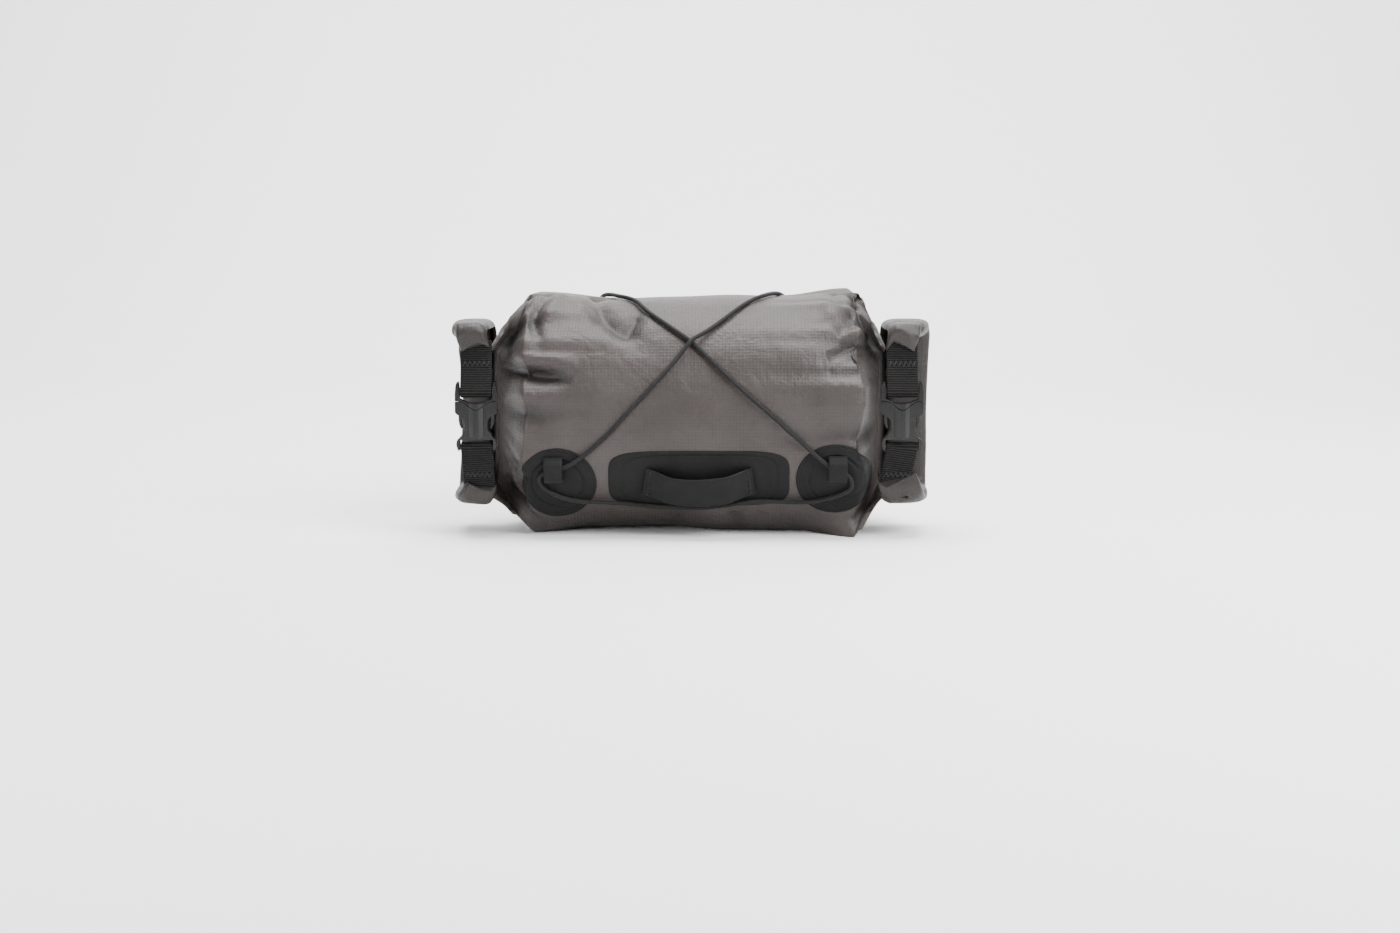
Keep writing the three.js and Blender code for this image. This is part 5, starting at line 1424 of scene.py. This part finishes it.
class HANDLEBAR_BAG_OT_straps(bpy.types.Operator):
    """The straps for the handlebar: a tail on the cloth, a turn round the bar's place and a tail below it"""
    bl_idname = "handlebar_bag.straps"
    bl_label = "Handlebar straps"

    def execute(self, context):
        settings = context.scene.handlebar_bag.webbing
        material = webbing_material(settings)
        profile = band_profile(settings.strap_width * 1000, BAR_STRAP_THICKNESS)
        for end in ENDS:
            x = end["sign"] * BAR_STRAP_X
            lift = BAR_STRAP_THICKNESS / 2 + 0.3
            top = cloth_point(x, np.radians(np.linspace(112, 128, 8)), lift)
            low = cloth_point(x, np.radians(np.linspace(160, 178, 8)), lift)
            ring = BAR_RADIUS + GAP + BAR_STRAP_THICKNESS / 2
            a = np.radians(np.linspace(100, -60, 40))
            turn = np.column_stack([np.full(40, x), BAR_Y + ring * np.cos(a), AXIS_HEIGHT + BAR_Z + ring * np.sin(a)])
            path = softened(resampled(np.concatenate([top, turn, low]), 1.2), 6)
            part = tube_part(swept(path, np.array([1.0, 0.0, 0.0]), profile))
            add_piece(f"woven_bar_strap_{end['side']}", part, material, (f"bar_strap_{end['side']}",), 50.0)
        return {"FINISHED"}


# Shock cord. Columns: x, height from the axis, lift of the cord's middle above the cloth, face.
FRONT, OVER, BACK = 0, 1, 2
CORD_ROUTE = [
    (-50.7, 78.0, 1.9, OVER), (-37.7, 75.7, 1.9, FRONT), (-28.9, 69.1, 1.9, FRONT), (-15.8, 60.6, 1.9, FRONT),
    (-0.4, 50.8, 1.9, FRONT), (25.6, 27.5, 1.9, FRONT), (45.9, 9.7, 1.9, FRONT), (66.9, -8.6, 2.4, FRONT),
    (81.0, -21.0, 3.3, FRONT), (91.0, -28.0, 3.3, FRONT), (99.8, -31.0, 3.3, FRONT), (102.0, -38.0, 3.3, FRONT),
    (93.5, -44.0, 3.3, FRONT), (78.6, -48.4, 3.3, FRONT), (64.0, -49.4, 3.3, FRONT), (38.8, -49.6, 3.3, FRONT),
    (17.6, -51.5, 3.3, FRONT), (-1.6, -52.6, 3.3, FRONT), (-20.5, -52.4, 3.3, FRONT), (-34.0, -51.1, 3.3, FRONT),
    (-56.5, -49.8, 3.3, FRONT), (-69.3, -49.4, 3.3, FRONT), (-84.0, -46.4, 3.3, FRONT), (-95.5, -40.0, 3.3, FRONT),
    (-98.5, -33.0, 3.3, FRONT), (-91.5, -29.0, 3.3, FRONT), (-80.6, -26.0, 3.3, FRONT), (-69.7, -19.2, 2.8, FRONT),
    (-56.9, -8.5, 1.9, FRONT), (-36.5, 12.8, 1.9, FRONT), (-15.6, 34.8, 1.9, FRONT), (-7.0, 44.2, 2.9, FRONT),
    (-0.4, 51.0, 5.0, FRONT), (6.0, 55.3, 2.9, FRONT), (13.0, 60.0, 1.9, FRONT), (26.0, 68.1, 1.9, FRONT),
    (43.3, 76.5, 1.9, FRONT), (52.0, 78.0, 1.9, OVER), (58.0, 77.0, 1.9, BACK), (62.5, 72.5, 1.9, BACK),
    (64.5, 66.0, 1.9, BACK), (62.0, 58.5, 1.9, BACK), (55.0, 54.5, 1.9, BACK), (44.0, 53.5, 1.9, BACK),
    (20.0, 52.5, 1.9, BACK), (-20.0, 52.5, 1.9, BACK), (-44.0, 53.5, 1.9, BACK), (-55.0, 54.5, 1.9, BACK),
    (-62.0, 58.5, 1.9, BACK), (-64.5, 66.0, 1.9, BACK), (-62.5, 72.5, 1.9, BACK), (-58.0, 77.0, 1.9, BACK),
]


class HANDLEBAR_BAG_OT_cord(bpy.types.Operator):
    """The shock cord: a closed loop that follows the cloth through the loops and crosses on the front"""
    bl_idname = "handlebar_bag.cord"
    bl_label = "Shock cord"

    def execute(self, context):
        settings = context.scene.handlebar_bag.cord
        route = np.array(CORD_ROUTE)
        x, height, lift, face = route.T
        angle = np.where(face == OVER, TOP, np.where(face == BACK, angle_at(x, height, True), angle_at(x, height)))
        line = closed_spline(np.column_stack([x, angle * FRONT_DEPTH, lift]), 24)
        x, run, lift = resampled(line, 0.9, True).T
        angle = run / FRONT_DEPTH
        path = cloth_point(x, angle, lift, False)
        for _ in range(16):
            path = (np.roll(path, 1, 0) + 2 * path + np.roll(path, -1, 0)) / 4
        turn = np.arange(14) / 14 * 2 * math.pi
        radius = settings.diameter * 500
        profile = np.stack([radius * np.cos(turn), radius * np.sin(turn)], -1)
        points = swept(path, body_normal(x, angle), profile, True)
        add_piece("braided_shock_cord", tube_part(points, True), cord_material(settings), ("shock_cord",), 80.0)
        return {"FINISHED"}


# Stage

CAMERA_PLACE = (0.0047, -1.502, 0.232)
CAMERA_PITCH = math.radians(90 - 7.35)
CAMERA_LENS = 58.24
FLOOR_REACH = 4.0
BACKDROP_START = 1.0
BACKDROP_RADIUS = 0.6
BACKDROP_HEIGHT = 3.0
# Columns: name, place, target and side of the square in metres, then the setting that holds its power.
LIGHTS = [
    ("key_light", (0.90, -0.80, 1.05), (0.0, 0.0, 0.08), 0.8, "key_power"),
    ("fill_light", (-0.80, -1.05, 0.38), (0.0, 0.0, 0.08), 0.7, "fill_power"),
    ("backdrop_light", (0.0, 0.3, 2.2), (0.0, 1.5, 0.4), 1.6, "backdrop_power"),
]


class HANDLEBAR_BAG_OT_stage(bpy.types.Operator):
    """The floor, the soft lights and the camera at the photograph's angle"""
    bl_idname = "handlebar_bag.stage"
    bl_label = "Stage"

    def execute(self, context):
        settings = context.scene.handlebar_bag.stage
        self.floor(context, settings)
        for name, place, target, size, power in LIGHTS:
            self.light(context, name, place, target, size, getattr(settings, power))
        world = bpy.data.worlds.new("soft studio")
        world.use_nodes = True
        background = world.node_tree.nodes["Background"]
        background.inputs["Color"].default_value = (0.93, 0.95, 1.0, 1)
        background.inputs["Strength"].default_value = settings.world_level
        context.scene.world = world
        data = bpy.data.cameras.new("photograph")
        data.sensor_width = 36.0
        data.sensor_fit = "HORIZONTAL"
        data.lens = CAMERA_LENS
        camera = bpy.data.objects.new("photograph", data)
        camera.location = CAMERA_PLACE
        camera.rotation_euler = (CAMERA_PITCH, 0, 0)
        context.scene.collection.objects.link(camera)
        context.scene.camera = camera
        return {"FINISHED"}

    def floor(self, context, settings):
        """A floor that curves up into a backdrop behind the bag: flat, a quarter circle, then upright."""
        radius, start = BACKDROP_RADIUS, BACKDROP_START
        turn = np.linspace(0, TOP, 24)
        y = np.concatenate([[-FLOOR_REACH, start], start + radius * np.sin(turn), [start + radius]])
        z = np.concatenate([[0.0, 0.0], radius - radius * np.cos(turn), [BACKDROP_HEIGHT]])
        x = np.linspace(-FLOOR_REACH, FLOOR_REACH, 2)[None, :]
        points = np.stack(np.broadcast_arrays(x, y[:, None], z[:, None]), -1)
        mesh = bpy.data.meshes.new("floor")
        rows = len(y)
        i = np.arange(rows - 1)
        faces = np.stack([i * 2, i * 2 + 1, i * 2 + 3, i * 2 + 2], -1)
        mesh.from_pydata(points.reshape(-1, 3).tolist(), [], faces.tolist())
        mesh.polygons.foreach_set("use_smooth", np.ones(rows - 1, bool))
        mesh.update()
        material, tree, shader = new_material("pale floor", **{"Roughness": 0.85})
        place = add_node(tree, "ShaderNodeTexCoord").outputs["Object"]
        noise = add_node(tree, "ShaderNodeTexNoise", {"Vector": place, "Scale": 3.0, "Detail": 3.0}).outputs["Fac"]
        low = opaque([channel * 0.985 for channel in settings.floor_color])
        tree.links.new(mix_color(tree, noise, low, opaque(settings.floor_color)), shader.inputs["Base Color"])
        mesh.materials.append(material)
        floor = bpy.data.objects.new("floor", mesh)
        context.scene.collection.objects.link(floor)

    def light(self, context, name, place, target, size, power):
        """A square soft light turned towards a target."""
        data = bpy.data.lights.new(name, "AREA")
        data.size = size
        data.energy = power
        lamp = bpy.data.objects.new(name, data)
        lamp.location = place
        aim = np.array(target) - np.array(place)
        yaw = math.atan2(aim[1], aim[0]) - TOP
        pitch = math.atan2(math.hypot(aim[0], aim[1]), -aim[2])
        lamp.rotation_euler = (pitch, 0, yaw)
        context.scene.collection.objects.link(lamp)


class HANDLEBAR_BAG_PT_sidebar(bpy.types.Panel):
    """Lists the pieces of the handlebar bag and their settings"""
    bl_idname = "HANDLEBAR_BAG_PT_sidebar"
    bl_label = "Handlebar bag"
    bl_space_type = "VIEW_3D"
    bl_region_type = "UI"
    bl_category = "Handlebar bag"

    def draw(self, context):
        settings = context.scene.handlebar_bag
        for label, group, operator in PANEL_ROWS:
            box = self.layout.box()
            values = getattr(settings, group)
            for key in values.__annotations__:
                box.prop(values, key)
            box.operator(operator, text=label)


PANEL_ROWS = [
    ("Stuffed body", "cloth", "handlebar_bag.body"),
    ("Rolled ends", "roll", "handlebar_bag.rolls"),
    ("Closure webbing", "webbing", "handlebar_bag.webbing"),
    ("Handlebar straps", "webbing", "handlebar_bag.straps"),
    ("Buckles", "buckle", "handlebar_bag.buckles"),
    ("Bonded patches", "patch", "handlebar_bag.patches"),
    ("Gear loop and cord loops", "patch", "handlebar_bag.loops"),
    ("Shock cord", "cord", "handlebar_bag.cord"),
    ("Stage", "stage", "handlebar_bag.stage"),
]

CLASSES = [
    ClothSettings, RollSettings, WebbingSettings, BuckleSettings, PatchSettings, CordSettings, StageSettings, BagSettings,
    HANDLEBAR_BAG_OT_stage, HANDLEBAR_BAG_OT_body, HANDLEBAR_BAG_OT_rolls, HANDLEBAR_BAG_OT_webbing,
    HANDLEBAR_BAG_OT_buckles, HANDLEBAR_BAG_OT_patches, HANDLEBAR_BAG_OT_loops, HANDLEBAR_BAG_OT_straps,
    HANDLEBAR_BAG_OT_cord, HANDLEBAR_BAG_PT_sidebar,
]


def register():
    """Registers the classes and puts the settings on the scene."""
    for entry in CLASSES:
        bpy.utils.register_class(entry)
    bpy.types.Scene.handlebar_bag = PointerProperty(name="Handlebar bag", description="Settings", type=BagSettings)


def unregister():
    """Takes the settings and the classes away again."""
    del bpy.types.Scene.handlebar_bag
    for entry in reversed(CLASSES):
        bpy.utils.unregister_class(entry)


def main():
    register()
    for step in (
        bpy.ops.handlebar_bag.stage, bpy.ops.handlebar_bag.body, bpy.ops.handlebar_bag.rolls,
        bpy.ops.handlebar_bag.webbing, bpy.ops.handlebar_bag.buckles, bpy.ops.handlebar_bag.patches,
        bpy.ops.handlebar_bag.loops, bpy.ops.handlebar_bag.straps, bpy.ops.handlebar_bag.cord,
    ):
        step()


if __name__ == "__main__":
    main()
